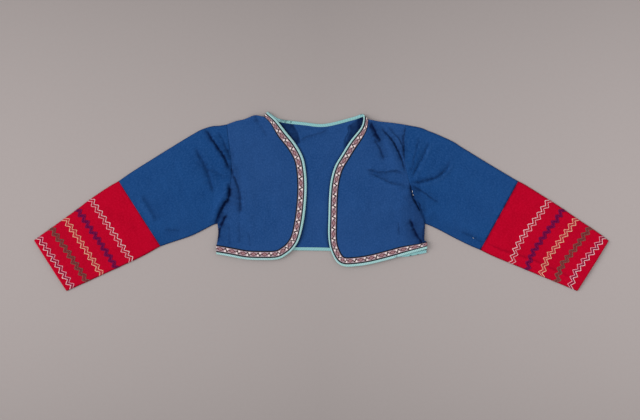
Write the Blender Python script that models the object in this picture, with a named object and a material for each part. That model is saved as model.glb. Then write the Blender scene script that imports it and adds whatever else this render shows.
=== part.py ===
"""A cropped, open-front folk jacket of plain cotton, laid flat with its front up.

The tables give the plan as it lies, in millimetres: x runs to the right and y up, seen from
above, with 0, 0 at the middle of the jacket's box. "left" and "right" are the viewer's.
Each panel is a wall of cloth. Heights are those of a layer's underside above the surface.
"""

import math

import bmesh
import bpy
import numpy as np
from mathutils import Vector
from mathutils.geometry import delaunay_2d_cdt

# Driving dimensions, in mm.
CLOTH = 1.0  # wall of every panel, ribbon and binding
GAP = 0.3  # free space at a seam and between layers
BINDING = 6.0  # width of the bias binding that wraps an edge
RIBBON = 14.0  # width of the woven ribbon beside the front binding
FOLD_ROUND = 0.8  # how far a folded edge is rounded
LOFT = 1.5  # how far the upper layer stands off away from its closed edges
LOFT_REACH = 45.0  # distance from a closed edge at which that loft is full
BAND_REACH = 45.0  # distance over which a front comes down from its stiff edge band
RAISE_REACH = 30.0  # distance over which the back comes down beside its own binding
MOST_LIFT = 4.7  # highest underside of the upper layer away from the bound edges
END_TAPER = 1.6  # how soon a fold reaches its full height from its ends
END_LEAST = 0.25  # the share of its height that a fold keeps at its ends
MITRE_STATIONS = 3  # stations over which a bound edge turns to the cut of its end
TIP_REACH = 70.0  # distance from the end of a front's edge at which the ribbon shows in full

# Spacing of the mesh, in mm.
STATION = 14.0  # along the fronts' bound edges
NECK_STATION = 12.0
HEM_STATION = 20.0
FRONT_GRID = 15.0
BACK_GRID = 25.0
GRID_CLEAR = 0.5  # free space between a grid and what bounds it, as a share of its spacing
RAIL_CLEAR = 4.0  # free space between the back's raised rails and its outline
MOST_DROPPED = 2  # grid points that one point on a fold may take the place of
SLEEVE_RINGS = 20
CUFF_RINGS = 11
UPPER_COLUMNS = 17
LOWER_COLUMNS = 5

# Heights of undersides that follow from the layers below them, in mm.
SEAM_LEVEL = CLOTH + GAP  # a cloth that lies on one layer of cloth
BOUND_LEVEL = CLOTH + GAP  # a panel over the lower leg of its own binding
OVER_BACK = SEAM_LEVEL + BOUND_LEVEL  # a bound front on the plain back
OVER_BINDING = 3 * (CLOTH + GAP) + BOUND_LEVEL  # a bound front on a bound back edge

PANEL_EDGE = CLOTH + GAP  # a panel's own edge, inside the fold of its binding
RIBBON_OUT = BINDING + GAP
BAND = RIBBON_OUT + RIBBON

# Columns: x, y. The bound edge of each front, from the neck tip down to the side seam.
FRONT_EDGE = {
    "left": [
        (-124.5, 204.5), (-104, 186), (-82, 158), (-61, 132), (-44.5, 103), (-37.8, 75), (-35, 38),
        (-36.5, -2), (-41.2, -44), (-49.8, -84), (-62, -107), (-79, -123), (-101, -134), (-139, -135.5),
        (-174, -134), (-209, -127.5), (-241, -122),
    ],
    "right": [
        (96, 198.5), (96, 186), (93, 173), (86, 161), (66.2, 136), (48.5, 108), (32, 80), (22.5, 47),
        (18.6, 10), (17.2, -37), (16.3, -84), (21, -112), (34, -139), (52, -150), (79, -149.8),
        (114, -144.5), (161, -132.7), (196, -122.5), (242, -110),
    ],
}
# Columns: distance along that edge from the neck tip, height of the front's underside.
FRONT_LEVEL = {
    "left": [(0, OVER_BINDING), (45, OVER_BINDING), (115, OVER_BACK), (225, OVER_BACK),
             (285, OVER_BINDING), (900, OVER_BINDING)],
    "right": [(0, OVER_BINDING), (45, OVER_BINDING), (115, OVER_BACK), (235, OVER_BACK),
              (295, OVER_BINDING), (900, OVER_BINDING)],
}
# Columns: x, y. The shoulder from the ribbon's inner edge to the armhole.
SHOULDER = {
    "left": [(-141, 195.2), (-150, 197), (-160, 195), (-178, 187.7), (-197, 183.5), (-217, 176)],
    "right": [(134, 182.5), (153, 180.8), (172, 178.3), (194, 175)],
}
# Columns: x, y. The armhole seam, from the shoulder to the underarm.
ARMHOLE = {
    "left": [(-217, 176), (-213, 140), (-208, 106), (-206, 71), (-210, 30), (-222, -5), (-239, -52)],
    "right": [(194, 175), (190, 129), (191, 94), (199, 53), (206, 30), (213, 5), (224, -18), (238, -52)],
}
# Columns: x, y. The side seam, from the underarm to the front's hem.
SIDE = {
    "left": [(-239, -52), (-237, -73), (-240, -101), (-241, -122)],
    "right": [(238, -52), (236, -92), (242, -110)],
}
# Columns: x, y. Upper and lower folded edge of each sleeve, from the body to the cuff seam.
SLEEVE_TOP = {
    "left": [(-217, 176), (-234, 173.2), (-251, 172), (-269, 166.8), (-288, 158), (-343, 124.9),
             (-398, 90.6), (-435, 67.4), (-466, 46)],
    "right": [(194, 175), (228, 168.4), (246, 161), (264.7, 153.8), (301, 137.2), (319.8, 125.2),
              (338, 114), (393, 80.5), (452, 45.5)],
}
SLEEVE_LOW = {
    "left": [(-239, -52), (-251, -55.9), (-287.5, -74.8), (-306, -82.6), (-343, -94.8), (-370, -104)],
    "right": [(238, -52), (264.5, -63.5), (301, -82.6), (338, -101), (365, -112.5)],
}
# Columns: x, y. Folded edges of each cuff, from its seam to its end.
CUFF_TOP = {
    "left": [(-466, 46), (-490, 32.2), (-527, 7.5), (-564, -20.5), (-600.5, -47), (-637, -73),
             (-660.5, -90)],
    "right": [(452, 45.5), (467, 38), (504, 15), (541, -8.5), (596, -46), (632, -70), (660, -91)],
}
CUFF_LOW = {
    "left": [(-370, -104), (-380, -109.5), (-416.5, -129.5), (-490, -163.5), (-545, -188.5),
             (-585.5, -207)],
    "right": [(365, -112.5), (393, -126.3), (430, -141.8), (504, -172.4), (587.5, -207)],
}
# Columns: x, y. The bound edges of the back: its neck from tip to tip, and its hem.
BACK_NECK = [
    (-124.5, 204.5), (-108, 192.5), (-96, 187), (-68, 182.6), (-35, 179), (-12, 176), (8, 176),
    (32, 180.5), (60, 188), (78, 193), (90, 197.5), (96, 198.5),
]
BACK_HEM = [
    (-241, -112), (-120, -112.5), (20, -114), (95, -120), (150, -126), (190, -127.4), (206, -125.4),
    (222, -122.2), (241, -118.5),
]
# The directions in which the ends of a bound edge are cut off. Columns: x, y.
FRONT_END = {"left": [(-0.57, -0.82), (-0.02, 1)], "right": [(0.7, -0.7), (0.02, 1)]}
BACK_NECK_ENDS = [(-0.57, -0.82), (0.6, -0.8)]
BACK_HEM_ENDS = [(0, 1), (0, 1)]
# Share of the ribbon's width that shows at the two ends of each front's edge, where it turns over
# the shoulder and round the side. Columns: at the neck tip, at the side seam.
SHOWN = {"left": (0.5, 1.0), "right": (0.35, 0.62)}

# Folds of the upper layer. Columns: name, height (a trough is negative), half width, route.
FOLDS = {
    "left": [
        ("pleat ridge", 1.5, 15, [(-262, 144), (-240, 124), (-222, 92), (-220, 66)]),
        ("pleat trough", -1.4, 10, [(-268, 160), (-250, 143), (-229, 117), (-215, 90), (-210, 71)]),
        ("underarm trough", -1.6, 11, [(-214, 30), (-216, 5), (-227, -14), (-236, -40)]),
        ("underarm ridge", 1.4, 15, [(-231, 42), (-234, 8), (-246, -20)]),
        ("body trough", -0.9, 12, [(-197, 67), (-190, 37), (-187, 2), (-187, -78)]),
        ("body ridge", 1.2, 20, [(-170, 80), (-166, 30), (-168, -70)]),
        ("sleeve trough", -0.9, 16, [(-279, 108), (-263, 74), (-254, 35)]),
        ("sleeve ridge", 1.0, 26, [(-320, 100), (-300, 50), (-285, 0)]),
        ("elbow trough", -0.8, 16, [(-412, 7), (-395, -14), (-381, -34)]),
    ],
    "right": [
        ("neck trough", -1.3, 12, [(116, 170), (135, 140), (146, 83)]),
        ("shoulder trough", -1.2, 10, [(164, 150), (178, 117), (188, 86), (196, 56)]),
        ("shoulder ridge", 1.4, 13, [(148, 150), (162, 112), (176, 70)]),
        ("cap trough", -1.0, 12, [(243, 138), (229, 94), (208, 50)]),
        ("cap ridge", 1.4, 18, [(262, 132), (250, 92), (232, 60)]),
        ("elbow trough", -1.2, 13, [(293, 90), (268, 58), (232, 43)]),
        ("chest trough", -0.8, 12, [(105, 71), (137, 67), (169, 60)]),
        ("underarm trough", -1.5, 11, [(207, 27), (213, 8), (226, -10), (236, -40)]),
        ("underarm ridge", 1.4, 15, [(240, 34), (243, 4), (252, -18)]),
        ("side trough", -1.2, 11, [(206, -38), (214, -66), (226, -90)]),
        ("side ridge", 1.3, 18, [(186, -10), (188, -50), (194, -84)]),
    ],
}

# Columns: name, base colour, roughness.
MATERIALS = {
    "cotton": ((0.016, 0.062, 0.195), 0.85),
    "red cloth": ((0.49, 0.001, 0.020), 0.85),
    "woven ribbon": ((0.33, 0.17, 0.18), 0.75),
    "bias binding": ((0.27, 0.52, 0.56), 0.7),
}

MM = 0.001


def smooth_curve(points, step):
    """Points about step apart on a smooth curve through the given ones."""
    p = np.array(points, float)
    p = np.vstack([2 * p[0] - p[1], p, 2 * p[-1] - p[-2]])
    fine = []
    for a, b, c, d in zip(p[:-3], p[1:-2], p[2:-1], p[3:]):
        for t in np.arange(0, 1, 0.05):
            fine.append(0.5 * (2 * b + (c - a) * t + (2 * a - 5 * b + 4 * c - d) * t**2
                               + (3 * b - a - 3 * c + d) * t**3))
    fine = np.array(fine + [p[-2]])
    along = np.concatenate([[0], np.cumsum(np.linalg.norm(np.diff(fine, axis=0), axis=1))])
    count = max(2, round(along[-1] / step) + 1)
    at = np.linspace(0, along[-1], count)
    return np.stack([np.interp(at, along, fine[:, 0]), np.interp(at, along, fine[:, 1])], 1)


def curve_at(points, shares):
    """Points at the given shares of the length of a smooth curve."""
    fine = smooth_curve(points, 1.0)
    along = np.linspace(0, 1, len(fine))
    return np.stack([np.interp(shares, along, fine[:, 0]), np.interp(shares, along, fine[:, 1])], 1)


def distance_to(points, line):
    """For each point, its distance to a polyline and the share of the line where it is nearest."""
    points = np.atleast_2d(points)
    best = np.full(len(points), np.inf)
    share = np.zeros(len(points))
    lengths = np.linalg.norm(np.diff(line, axis=0), axis=1)
    starts = np.concatenate([[0], np.cumsum(lengths)])
    for i, (a, b) in enumerate(zip(line[:-1], line[1:])):
        t = np.clip(((points - a) @ (b - a)) / max(lengths[i] ** 2, 1e-9), 0, 1)
        d = np.linalg.norm(points - (a + t[:, None] * (b - a)), axis=1)
        nearer = d < best
        best[nearer] = d[nearer]
        share[nearer] = ((starts[i] + t * lengths[i]) / starts[-1])[nearer]
    return best, share


def smooth_step(x):
    x = np.clip(x, 0, 1)
    return x * x * (3 - 2 * x)


def shifted(curve, distance):
    """The curve moved sideways, to the left of its direction."""
    run = np.gradient(curve, axis=0)
    run /= np.linalg.norm(run, axis=1)[:, None]
    return curve + distance * np.stack([-run[:, 1], run[:, 0]], 1)


class Edge:
    """A bound edge: stations along it, and lines across it that end flush with its neighbours."""

    def __init__(self, points, inward, first_across, last_across, step=STATION, shown=(1.0, 1.0)):
        self.line = smooth_curve(points, step)
        run = np.gradient(self.line, axis=0)
        run /= np.linalg.norm(run, axis=1)[:, None]
        normal = inward * np.stack([-run[:, 1], run[:, 0]], 1)
        across = normal.copy()
        for i in range(MITRE_STATIONS):
            share = 1 - i / MITRE_STATIONS
            for at, end in ((i, first_across), (-1 - i, last_across)):
                end = np.array(end, float) / np.linalg.norm(end)
                way = share * end + (1 - share) * normal[at]
                across[at] = way / (way @ normal[at])
        self.across = across
        steps = np.linalg.norm(np.diff(self.line, axis=0), axis=1)
        self.along = np.concatenate([[0], np.cumsum(steps)])
        self.level = np.full(len(self.line), BOUND_LEVEL)
        self.shown = np.ones(len(self.line))
        for share, from_end in zip(shown, (self.along, self.along[-1] - self.along)):
            self.shown -= (1 - share) * (1 - smooth_step(from_end / TIP_REACH))

    def rail(self, distance):
        """The line at a distance inside the edge; less of the ribbon shows near its ends."""
        beyond = max(distance - RIBBON_OUT, 0)
        return self.line + (distance - beyond + beyond * self.shown)[:, None] * self.across

    def sections(self, profile):
        """The profile at each station. Columns of the profile: distance in from the edge, height."""
        rails = [np.column_stack([self.rail(d), self.level + h]) for d, h in profile]
        return np.stack(rails, 1)


def front_edge(side):
    inward = -1 if side == "left" else 1
    edge = Edge(FRONT_EDGE[side], inward, *FRONT_END[side], shown=SHOWN[side])
    edge.level = level_between(edge.along, np.array(FRONT_LEVEL[side], float))
    return edge


def level_between(along, knots):
    """Heights between the rows of a level table, with soft bends at the rows."""
    i = np.clip(np.searchsorted(knots[:, 0], along, side="right") - 1, 0, len(knots) - 2)
    t = (along - knots[i, 0]) / (knots[i + 1, 0] - knots[i, 0])
    return knots[i, 1] + (knots[i + 1, 1] - knots[i, 1]) * smooth_step(t)


class Side:
    """One half of the jacket: its curves and the form of its upper layer."""

    def __init__(self, name):
        self.name = name
        self.edge = front_edge(name)
        self.armhole = curve_at(ARMHOLE[name], np.linspace(0, 1, UPPER_COLUMNS))
        self.inner = self.edge.rail(BAND)
        self.shoulder = smooth_curve([tuple(self.inner[0])] + SHOULDER[name], STATION)
        self.side = smooth_curve(SIDE[name], STATION)
        tip = [FRONT_EDGE[name][0]]
        self.closed = [
            np.vstack([tip, self.shoulder, smooth_curve(SLEEVE_TOP[name], STATION),
                       smooth_curve(CUFF_TOP[name], STATION)]),
            np.vstack([self.side[::-1], smooth_curve(SLEEVE_LOW[name], STATION),
                       smooth_curve(CUFF_LOW[name], STATION)]),
        ]
        self.folds = [(height, width, smooth_curve(route, 5.0))
                      for _, height, width, route in FOLDS[name]]

    def upper(self, points):
        """Height of the upper layer's underside over the sleeves and away from the bound edge."""
        edge = np.min([distance_to(points, line)[0] for line in self.closed], axis=0)
        lift = np.full(len(points), LOFT)
        for height, width, route in self.folds:
            d, share = distance_to(points, route)
            ends = np.clip(4 * share * (1 - share) * END_TAPER, END_LEAST, 1)
            lift += height * ends * (0.5 + 0.5 * np.cos(math.pi * np.clip(d / width, 0, 1)))
        rise = smooth_step(edge / LOFT_REACH)
        return np.clip(SEAM_LEVEL + rise * lift, SEAM_LEVEL, MOST_LIFT)

    def front(self, points):
        """Height of the front's underside, which comes down from its bound edge."""
        d, share = distance_to(points, self.inner)
        band = np.interp(share, np.linspace(0, 1, len(self.inner)), self.edge.level)
        blend = smooth_step(d / BAND_REACH)
        return (1 - blend) * band + blend * self.upper(points)


def hex_grid(outline, spacing, clear):
    """Points of an even grid inside an outline, at least clear away from it."""
    low, high = outline.min(0), outline.max(0)
    rows = []
    for k, y in enumerate(np.arange(low[1], high[1], spacing * math.sqrt(3) / 2)):
        start = low[0] + (k % 2) * spacing / 2
        rows += [(x, y) for x in np.arange(start, high[0], spacing)]
    points = np.array(rows)
    closed = np.vstack([outline, outline[:1]])
    return points[inside(points, outline) & (distance_to(points, closed)[0] > clear)]


def inside(points, outline):
    hit = np.zeros(len(points), bool)
    for a, b in zip(outline, np.roll(outline, -1, axis=0)):
        crosses = (a[1] > points[:, 1]) != (b[1] > points[:, 1])
        rise = b[1] - a[1] if b[1] != a[1] else 1e-9
        hit ^= crosses & (points[:, 0] < (b[0] - a[0]) * (points[:, 1] - a[1]) / rise + a[0])
    return hit


def with_folds(grid, folds, outline, clear):
    """The grid with points on the crest and at the foot of each fold that crosses it."""
    closed = np.vstack([outline, outline[:1]])
    for _, width, route in folds:
        path = route[::2]
        for line in (path, shifted(path, width), shifted(path, -width)):
            usable = line[inside(line, outline) & (distance_to(line, closed)[0] > clear)]
            for point in usable:
                kept = grid[np.linalg.norm(grid - point, axis=1) > clear]
                if len(grid) - len(kept) <= MOST_DROPPED:
                    grid = np.vstack([kept, point])
    return grid


def triangulated(outline, grid):
    """Triangles over an outline's points followed by the grid's points."""
    points = [Vector(p) for p in np.vstack([outline, grid])]
    ring = list(range(len(outline)))
    verts, _, faces, origins, _, _ = delaunay_2d_cdt(points, [], [ring], 1, 1e-6)
    if any(not o for o in origins):
        raise ValueError("the outline crosses itself")
    triangles = []
    for face in faces:
        a, b, c = (verts[i] for i in face)
        turn = (b - a).cross(c - a)
        corners = [origins[i][0] for i in face]
        triangles.append(corners if turn > 0 else corners[::-1])
    return triangles


def strip_triangles(first, second, count):
    """Triangles between two rails of count points whose indices start at first and second."""
    out = []
    for i in range(count - 1):
        a, b, c, d = first + i, first + i + 1, second + i + 1, second + i
        out += [(a, b, c), (a, c, d)]
    return out


def facing_up(points, triangles):
    out = []
    for a, b, c in triangles:
        u = points[b] - points[a]
        v = points[c] - points[a]
        out.append((a, b, c) if u[0] * v[1] - u[1] * v[0] > 0 else (a, c, b))
    return out


def material(name):
    known = bpy.data.materials.get(name)
    if known:
        return known
    colour, roughness = MATERIALS[name]
    made = bpy.data.materials.new(name)
    made.use_nodes = True
    shader = made.node_tree.nodes["Principled BSDF"]
    shader.inputs["Base Color"].default_value = (*colour, 1.0)
    shader.inputs["Roughness"].default_value = roughness
    shader.inputs["Metallic"].default_value = 0.0
    return made


def add_solid(name, points, faces, finish):
    """One named object from points in mm and faces that close round it."""
    mesh = bpy.data.meshes.new(name)
    mesh.from_pydata([tuple(c * MM for c in p) for p in points], [], [tuple(f) for f in faces])
    body = bmesh.new()
    body.from_mesh(mesh)
    bmesh.ops.recalc_face_normals(body, faces=body.faces)
    if body.calc_volume(signed=True) < 0:
        bmesh.ops.reverse_faces(body, faces=body.faces)
    body.to_mesh(mesh)
    body.free()
    mesh.materials.append(material(finish))
    made = bpy.data.objects.new(name, mesh)
    bpy.context.collection.objects.link(made)
    mesh.shade_smooth()
    mesh.set_sharp_from_angle(angle=math.radians(40))
    return made


def add_wall(name, points, triangles, underside, finish):
    """A wall of cloth over a triangulated plan."""
    n = len(points)
    low = np.column_stack([points, underside])
    high = np.column_stack([points, underside + CLOTH])
    faces = [tuple(t) for t in triangles]
    edges = {(t[i], t[(i + 1) % 3]) for t in faces for i in range(3)}
    rim = [(a, b) for a, b in edges if (b, a) not in edges]
    solid = [tuple(i + n for i in t) for t in faces] + [t[::-1] for t in faces]
    solid += [(a, b, b + n, a + n) for a, b in sorted(rim)]
    add_solid(name, np.vstack([low, high]), solid, finish)


def add_swept(name, sections, finish):
    """A solid through like sections, capped at both ends."""
    points = np.vstack(sections)
    n = len(sections[0])
    faces = []
    for k in range(len(sections) - 1):
        for i in range(n):
            j = (i + 1) % n
            faces.append((k * n + i, k * n + j, (k + 1) * n + j, (k + 1) * n + i))
    last = (len(sections) - 1) * n
    faces += [tuple(range(n)), tuple(last + i for i in reversed(range(n)))]
    add_solid(name, points, faces, finish)


def add_binding(name, edge):
    """A folded strip round a panel's edge: a leg below it, a leg above it and the fold."""
    low = -GAP - CLOTH
    high = 2 * CLOTH + GAP
    profile = [
        (BINDING, low), (FOLD_ROUND, low), (0, low + FOLD_ROUND), (0, high - FOLD_ROUND),
        (FOLD_ROUND, high), (BINDING, high), (BINDING, high - CLOTH), (CLOTH, high - CLOTH),
        (CLOTH, -GAP), (BINDING, -GAP),
    ]
    add_swept(name, edge.sections(profile), "bias binding")


def add_ribbon(name, edge):
    """The woven ribbon, which lies on the front beside its binding."""
    low = CLOTH + GAP
    profile = [(RIBBON_OUT, low), (RIBBON_OUT, low + CLOTH), (BAND, low + CLOTH), (BAND, low)]
    add_swept(name, edge.sections(profile), "woven ribbon")


def add_front(side):
    """A front panel: an even band along its bound edge, and a grid with its folds inside."""
    edge = side.edge
    count = len(edge.line)
    out = -1 if side.name == "left" else 1
    armhole = shifted(side.armhole, -out * GAP / 2)[::-1]
    seam = side.side[::-1][:-1]
    seam = seam[seam[:, 1] > side.inner[-1, 1] + STATION / 2]
    outline = np.vstack([side.inner, seam, armhole, side.shoulder[::-1][1:-1]])
    grid = hex_grid(outline, FRONT_GRID, FRONT_GRID * GRID_CLEAR)
    grid = with_folds(grid, side.folds, outline, FRONT_GRID * GRID_CLEAR)
    rails = [edge.rail(PANEL_EDGE), edge.rail(RIBBON_OUT)]
    points = np.vstack([outline, grid] + rails)
    triangles = [tuple(t) for t in triangulated(outline, grid)]
    start = len(outline) + len(grid)
    band = strip_triangles(start, start + count, count) + strip_triangles(start + count, 0, count)
    triangles += facing_up(points, band)
    underside = side.front(points)
    underside[:count] = edge.level
    underside[start:] = np.tile(edge.level, len(rails))
    add_wall("front_" + side.name, points, triangles, underside, "cotton")


def add_back(left, right, neck, hem):
    """The back panel, raised a little where its bindings pass under it."""
    foot = BINDING + 2 * GAP
    halves = []
    for side, out, end in ((left, -1, 0), (right, 1, -1)):
        armhole = shifted(side.armhole, -out * GAP / 2)
        lowest = hem.rail(foot)[end]
        seam = side.side[side.side[:, 1] > lowest[1] + STATION / 2][1:]
        halves.append(np.vstack([neck.rail(foot)[end], side.shoulder[:-1], armhole, seam, lowest]))
    neck_rail = neck.rail(PANEL_EDGE)[::-1]
    outline = np.vstack([neck_rail, halves[0], hem.rail(PANEL_EDGE), halves[1][::-1]])
    grid = hex_grid(outline, BACK_GRID, BACK_GRID * GRID_CLEAR)
    for line in (neck, hem):
        for distance in (foot, BINDING + RAISE_REACH):
            rail = line.rail(distance)[1:-1]
            far = distance_to(grid, rail)[0] > BACK_GRID * GRID_CLEAR
            closed = np.vstack([outline, outline[:1]])
            keep = inside(rail, outline) & (distance_to(rail, closed)[0] > RAIL_CLEAR)
            grid = np.vstack([grid[far], rail[keep]])
    points = np.vstack([outline, grid])
    near = np.minimum(distance_to(points, neck.line)[0], distance_to(points, hem.line)[0])
    underside = BOUND_LEVEL * (1 - smooth_step((near - RIBBON_OUT) / RAISE_REACH))
    add_wall("back", points, triangulated(outline, grid), underside, "cotton")


def tube_plan(top, low, start, end, shares, columns):
    """Plan points of a flat tube between four curves: rows along it, columns across it."""
    rows = []
    t, b = curve_at(top, shares), curve_at(low, shares)
    a, c = curve_at(start, columns), curve_at(end, columns)
    for i, u in enumerate(shares):
        ruled = (1 - columns)[:, None] * t[i] + columns[:, None] * b[i]
        across = (1 - u) * a + u * c
        corner = (1 - columns)[:, None] * ((1 - u) * t[0] + u * t[-1])
        corner = corner + columns[:, None] * ((1 - u) * b[0] + u * b[-1])
        rows.append(ruled + across - corner)
    return np.array(rows)


def columns_between(margin, inner):
    """Shares across a tube's upper layer: one at each folded edge, the others evenly between."""
    middle = np.linspace(inner, 1 - inner, UPPER_COLUMNS)
    return np.concatenate([[margin], middle, [1 - margin]])


def add_tube(name, side, top, low, start, end, rings, lower_columns, finish):
    """A sleeve or cuff as a flattened tube: a flat lower wall, a raised upper one, two folds."""
    shares = np.linspace(0, 1, rings + 1)
    width = np.linalg.norm(np.array(top[0], float) - np.array(low[0], float))
    wall = CLOTH / width
    outside = FOLD_ROUND / width
    inside_fold = outside + 2 * wall
    outer_columns = columns_between(0, outside)
    inner_columns = columns_between(wall, inside_fold)
    outer_top = tube_plan(top, low, start, end, shares, outer_columns)
    inner_top = tube_plan(top, low, start, end, shares, inner_columns)
    outer_columns = np.linspace(1 - outside, outside, lower_columns)
    inner_columns = np.linspace(1 - inside_fold, inside_fold, lower_columns)
    outer_low = tube_plan(top, low, start, end, shares, outer_columns)
    inner_low = tube_plan(top, low, start, end, shares, inner_columns)
    middle_level = CLOTH + GAP / 2
    points, n = [], 0
    for k in range(len(shares)):
        over = side.upper(outer_top[k])
        under = side.upper(inner_top[k])
        outer = [(*p, h + CLOTH) for p, h in zip(outer_top[k], over)]
        inner = [(*p, h) for p, h in zip(inner_top[k], under)]
        for row in (outer, inner):
            row[0] = (*row[0][:2], middle_level)
            row[-1] = (*row[-1][:2], middle_level)
        outer += [(*p, 0.0) for p in outer_low[k]]
        inner += [(*p, CLOTH) for p in inner_low[k]]
        n = len(outer)
        points += outer + inner
    faces = []
    for k in range(len(shares) - 1):
        for i in range(n):
            j = (i + 1) % n
            for shift in (0, n):
                a = 2 * n * k + shift
                b = a + 2 * n
                faces.append((a + i, a + j, b + j, b + i))
    for k in (0, len(shares) - 1):
        for i in range(n):
            j = (i + 1) % n
            a = 2 * n * k
            faces.append((a + i, a + j, a + n + j, a + n + i))
    add_solid(name, points, faces, finish)


def pulled_in(curve, distance):
    """The table's route with its first point moved along it by distance."""
    first, second = np.array(curve[0], float), np.array(curve[1], float)
    way = (second - first) / np.linalg.norm(second - first)
    return [tuple(first + distance * way)] + list(curve[1:])


def add_sleeve(side):
    out = -1 if side.name == "left" else 1
    armhole = shifted(side.armhole, out * GAP / 2)
    name = side.name
    top = [tuple(armhole[0])] + SLEEVE_TOP[name][1:]
    low = [tuple(armhole[-1])] + SLEEVE_LOW[name][1:]
    top = pulled_in(top[::-1], GAP / 2)[::-1]
    low = pulled_in(low[::-1], GAP / 2)[::-1]
    seam = [top[-1], low[-1]]
    add_tube("sleeve_" + name, side, top, low, armhole, seam, SLEEVE_RINGS, UPPER_COLUMNS, "cotton")
    top = pulled_in(CUFF_TOP[name], GAP / 2)
    low = pulled_in(CUFF_LOW[name], GAP / 2)
    start, end = [top[0], low[0]], [top[-1], low[-1]]
    add_tube("cuff_" + name, side, top, low, start, end, CUFF_RINGS, LOWER_COLUMNS, "red cloth")


def main():
    for old in list(bpy.data.objects):
        bpy.data.objects.remove(old, do_unlink=True)
    left, right = Side("left"), Side("right")
    neck = Edge(BACK_NECK, -1, *BACK_NECK_ENDS, step=NECK_STATION)
    hem = Edge(BACK_HEM, 1, *BACK_HEM_ENDS, step=HEM_STATION)
    add_back(left, right, neck, hem)
    for side in (left, right):
        add_front(side)
        add_sleeve(side)
        add_ribbon("ribbon_" + side.name, side.edge)
        add_binding("binding_front_" + side.name, side.edge)
    add_binding("binding_neck_back", neck)
    add_binding("binding_hem_back", hem)


main()
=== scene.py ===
"""The looks of a cropped, open-front folk jacket that lies flat with its front up.

Sizes in the tables are millimetres in the plan of the laid jacket, seen from above, with 0, 0 at
the middle of its box: x runs to the right and y up. "left" and "right" are the viewer's.
"""

import math

import bpy
import numpy as np
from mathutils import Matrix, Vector
from mathutils.geometry import delaunay_2d_cdt


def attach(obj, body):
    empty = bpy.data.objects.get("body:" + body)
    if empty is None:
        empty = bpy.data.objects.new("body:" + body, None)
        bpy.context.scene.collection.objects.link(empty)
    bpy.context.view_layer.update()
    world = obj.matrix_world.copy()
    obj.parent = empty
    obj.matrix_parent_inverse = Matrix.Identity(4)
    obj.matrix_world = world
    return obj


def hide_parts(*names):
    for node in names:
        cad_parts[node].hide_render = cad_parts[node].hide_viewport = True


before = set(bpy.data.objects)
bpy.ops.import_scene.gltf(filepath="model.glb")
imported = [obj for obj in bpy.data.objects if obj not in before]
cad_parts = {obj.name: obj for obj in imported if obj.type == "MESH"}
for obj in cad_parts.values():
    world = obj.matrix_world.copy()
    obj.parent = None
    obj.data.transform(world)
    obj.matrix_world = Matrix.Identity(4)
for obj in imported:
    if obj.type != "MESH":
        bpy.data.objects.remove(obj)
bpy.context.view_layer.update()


def rgb(red, green, blue):
    """A linear colour from sRGB values of 0 to 255."""
    def linear(c):
        c /= 255
        return c / 12.92 if c <= 0.04045 else ((c + 0.055) / 1.055) ** 2.4
    return (linear(red), linear(green), linear(blue), 1.0)


MM = 0.001

# Construction in mm, most of it as the solids have it.
CLOTH = 1.0
GAP = 0.3
BINDING = 6.0
RIBBON = 14.0
LOFT = 1.5
LOFT_REACH = 45.0
BAND_REACH = 45.0
RAISE_REACH = 30.0
END_TAPER = 1.6
END_LEAST = 0.25
MITRE = 42.0  # distance over which a bound edge turns to the cut of its end
TIP_REACH = 70.0  # distance from the end of a front's edge at which the ribbon shows in full
# How far a binding shows inside its edge, and how far its roll stands out of it. A front's stands
# out along its opening, where it lies over the back.
SHOWN_FRONT = {"left": (4.2, 4.8), "right": (3.1, 5.7)}  # along the opening, along the hem
SHOWN_NECK = 5.7
SHOWN_HEM = 6.7
PLUMP = 1.2
PLUMP_NECK = 1.5
PLUMP_HEM = 0.7
ROLL_REACH = 2.6  # how far inside the edge the roll begins
PLUMP_REACH = (60.0, 330.0)  # along a front's edge: where it does so in full, and where it ends
RIBBON_OVER = {"left": (0.4, 0.8), "right": (-1.3, 1.4)}  # how far the ribbon reaches over the front
TURN = (330.0, 70.0)  # along a front's edge: where the opening turns into the hem, and over what length
SEAM_LEVEL = CLOTH + GAP
BOUND_LEVEL = CLOTH + GAP
OVER_BACK = SEAM_LEVEL + BOUND_LEVEL
OVER_BINDING = 3 * (CLOTH + GAP) + BOUND_LEVEL
PANEL_EDGE = CLOTH + GAP
RIBBON_OUT = BINDING + GAP
BAND = RIBBON_OUT + RIBBON

# The cut of each piece of cloth: its width, which is all round a sleeve or cuff, and its length.
BACK_CUT = (484, 332)
FRONT_CUT = (230, 345)
SLEEVE_CUT = (472, 312)
CUFF_CUT = (362, 248)
BINDING_CUT = 17

# Fineness of the shells, in mm.
SHEET = 0.7  # thickness of the cloth as it shows
BINDING_SHEET = 0.6
RIBBON_SHEET = 0.5
STEP = 3.0  # along a panel's outline
GRID = 2.7  # inside a panel
FINE_GRID = 1.1  # beside a crease
BACK_STEP = 4.5
STRAY = 0.7  # how far the creases stray from their routes

# Columns: x, y. The bound edge of each front, from the neck tip down to the side seam.
FRONT_EDGE = {
    "left": [
        (-124.5, 204.5), (-104, 186), (-82, 158), (-61, 132), (-44.5, 103), (-37.8, 75), (-35, 38),
        (-36.5, -2), (-41.2, -44), (-49.8, -84), (-62, -107), (-79, -123), (-101, -134), (-139, -135.5),
        (-174, -134), (-209, -127.5), (-241, -122),
    ],
    "right": [
        (96, 198.5), (96, 186), (93, 173), (86, 161), (66.2, 136), (48.5, 108), (32, 80), (22.5, 47),
        (18.6, 10), (17.2, -37), (16.3, -84), (21, -112), (34, -139), (52, -150), (79, -149.8),
        (114, -144.5), (161, -132.7), (196, -122.5), (242, -110),
    ],
}
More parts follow.
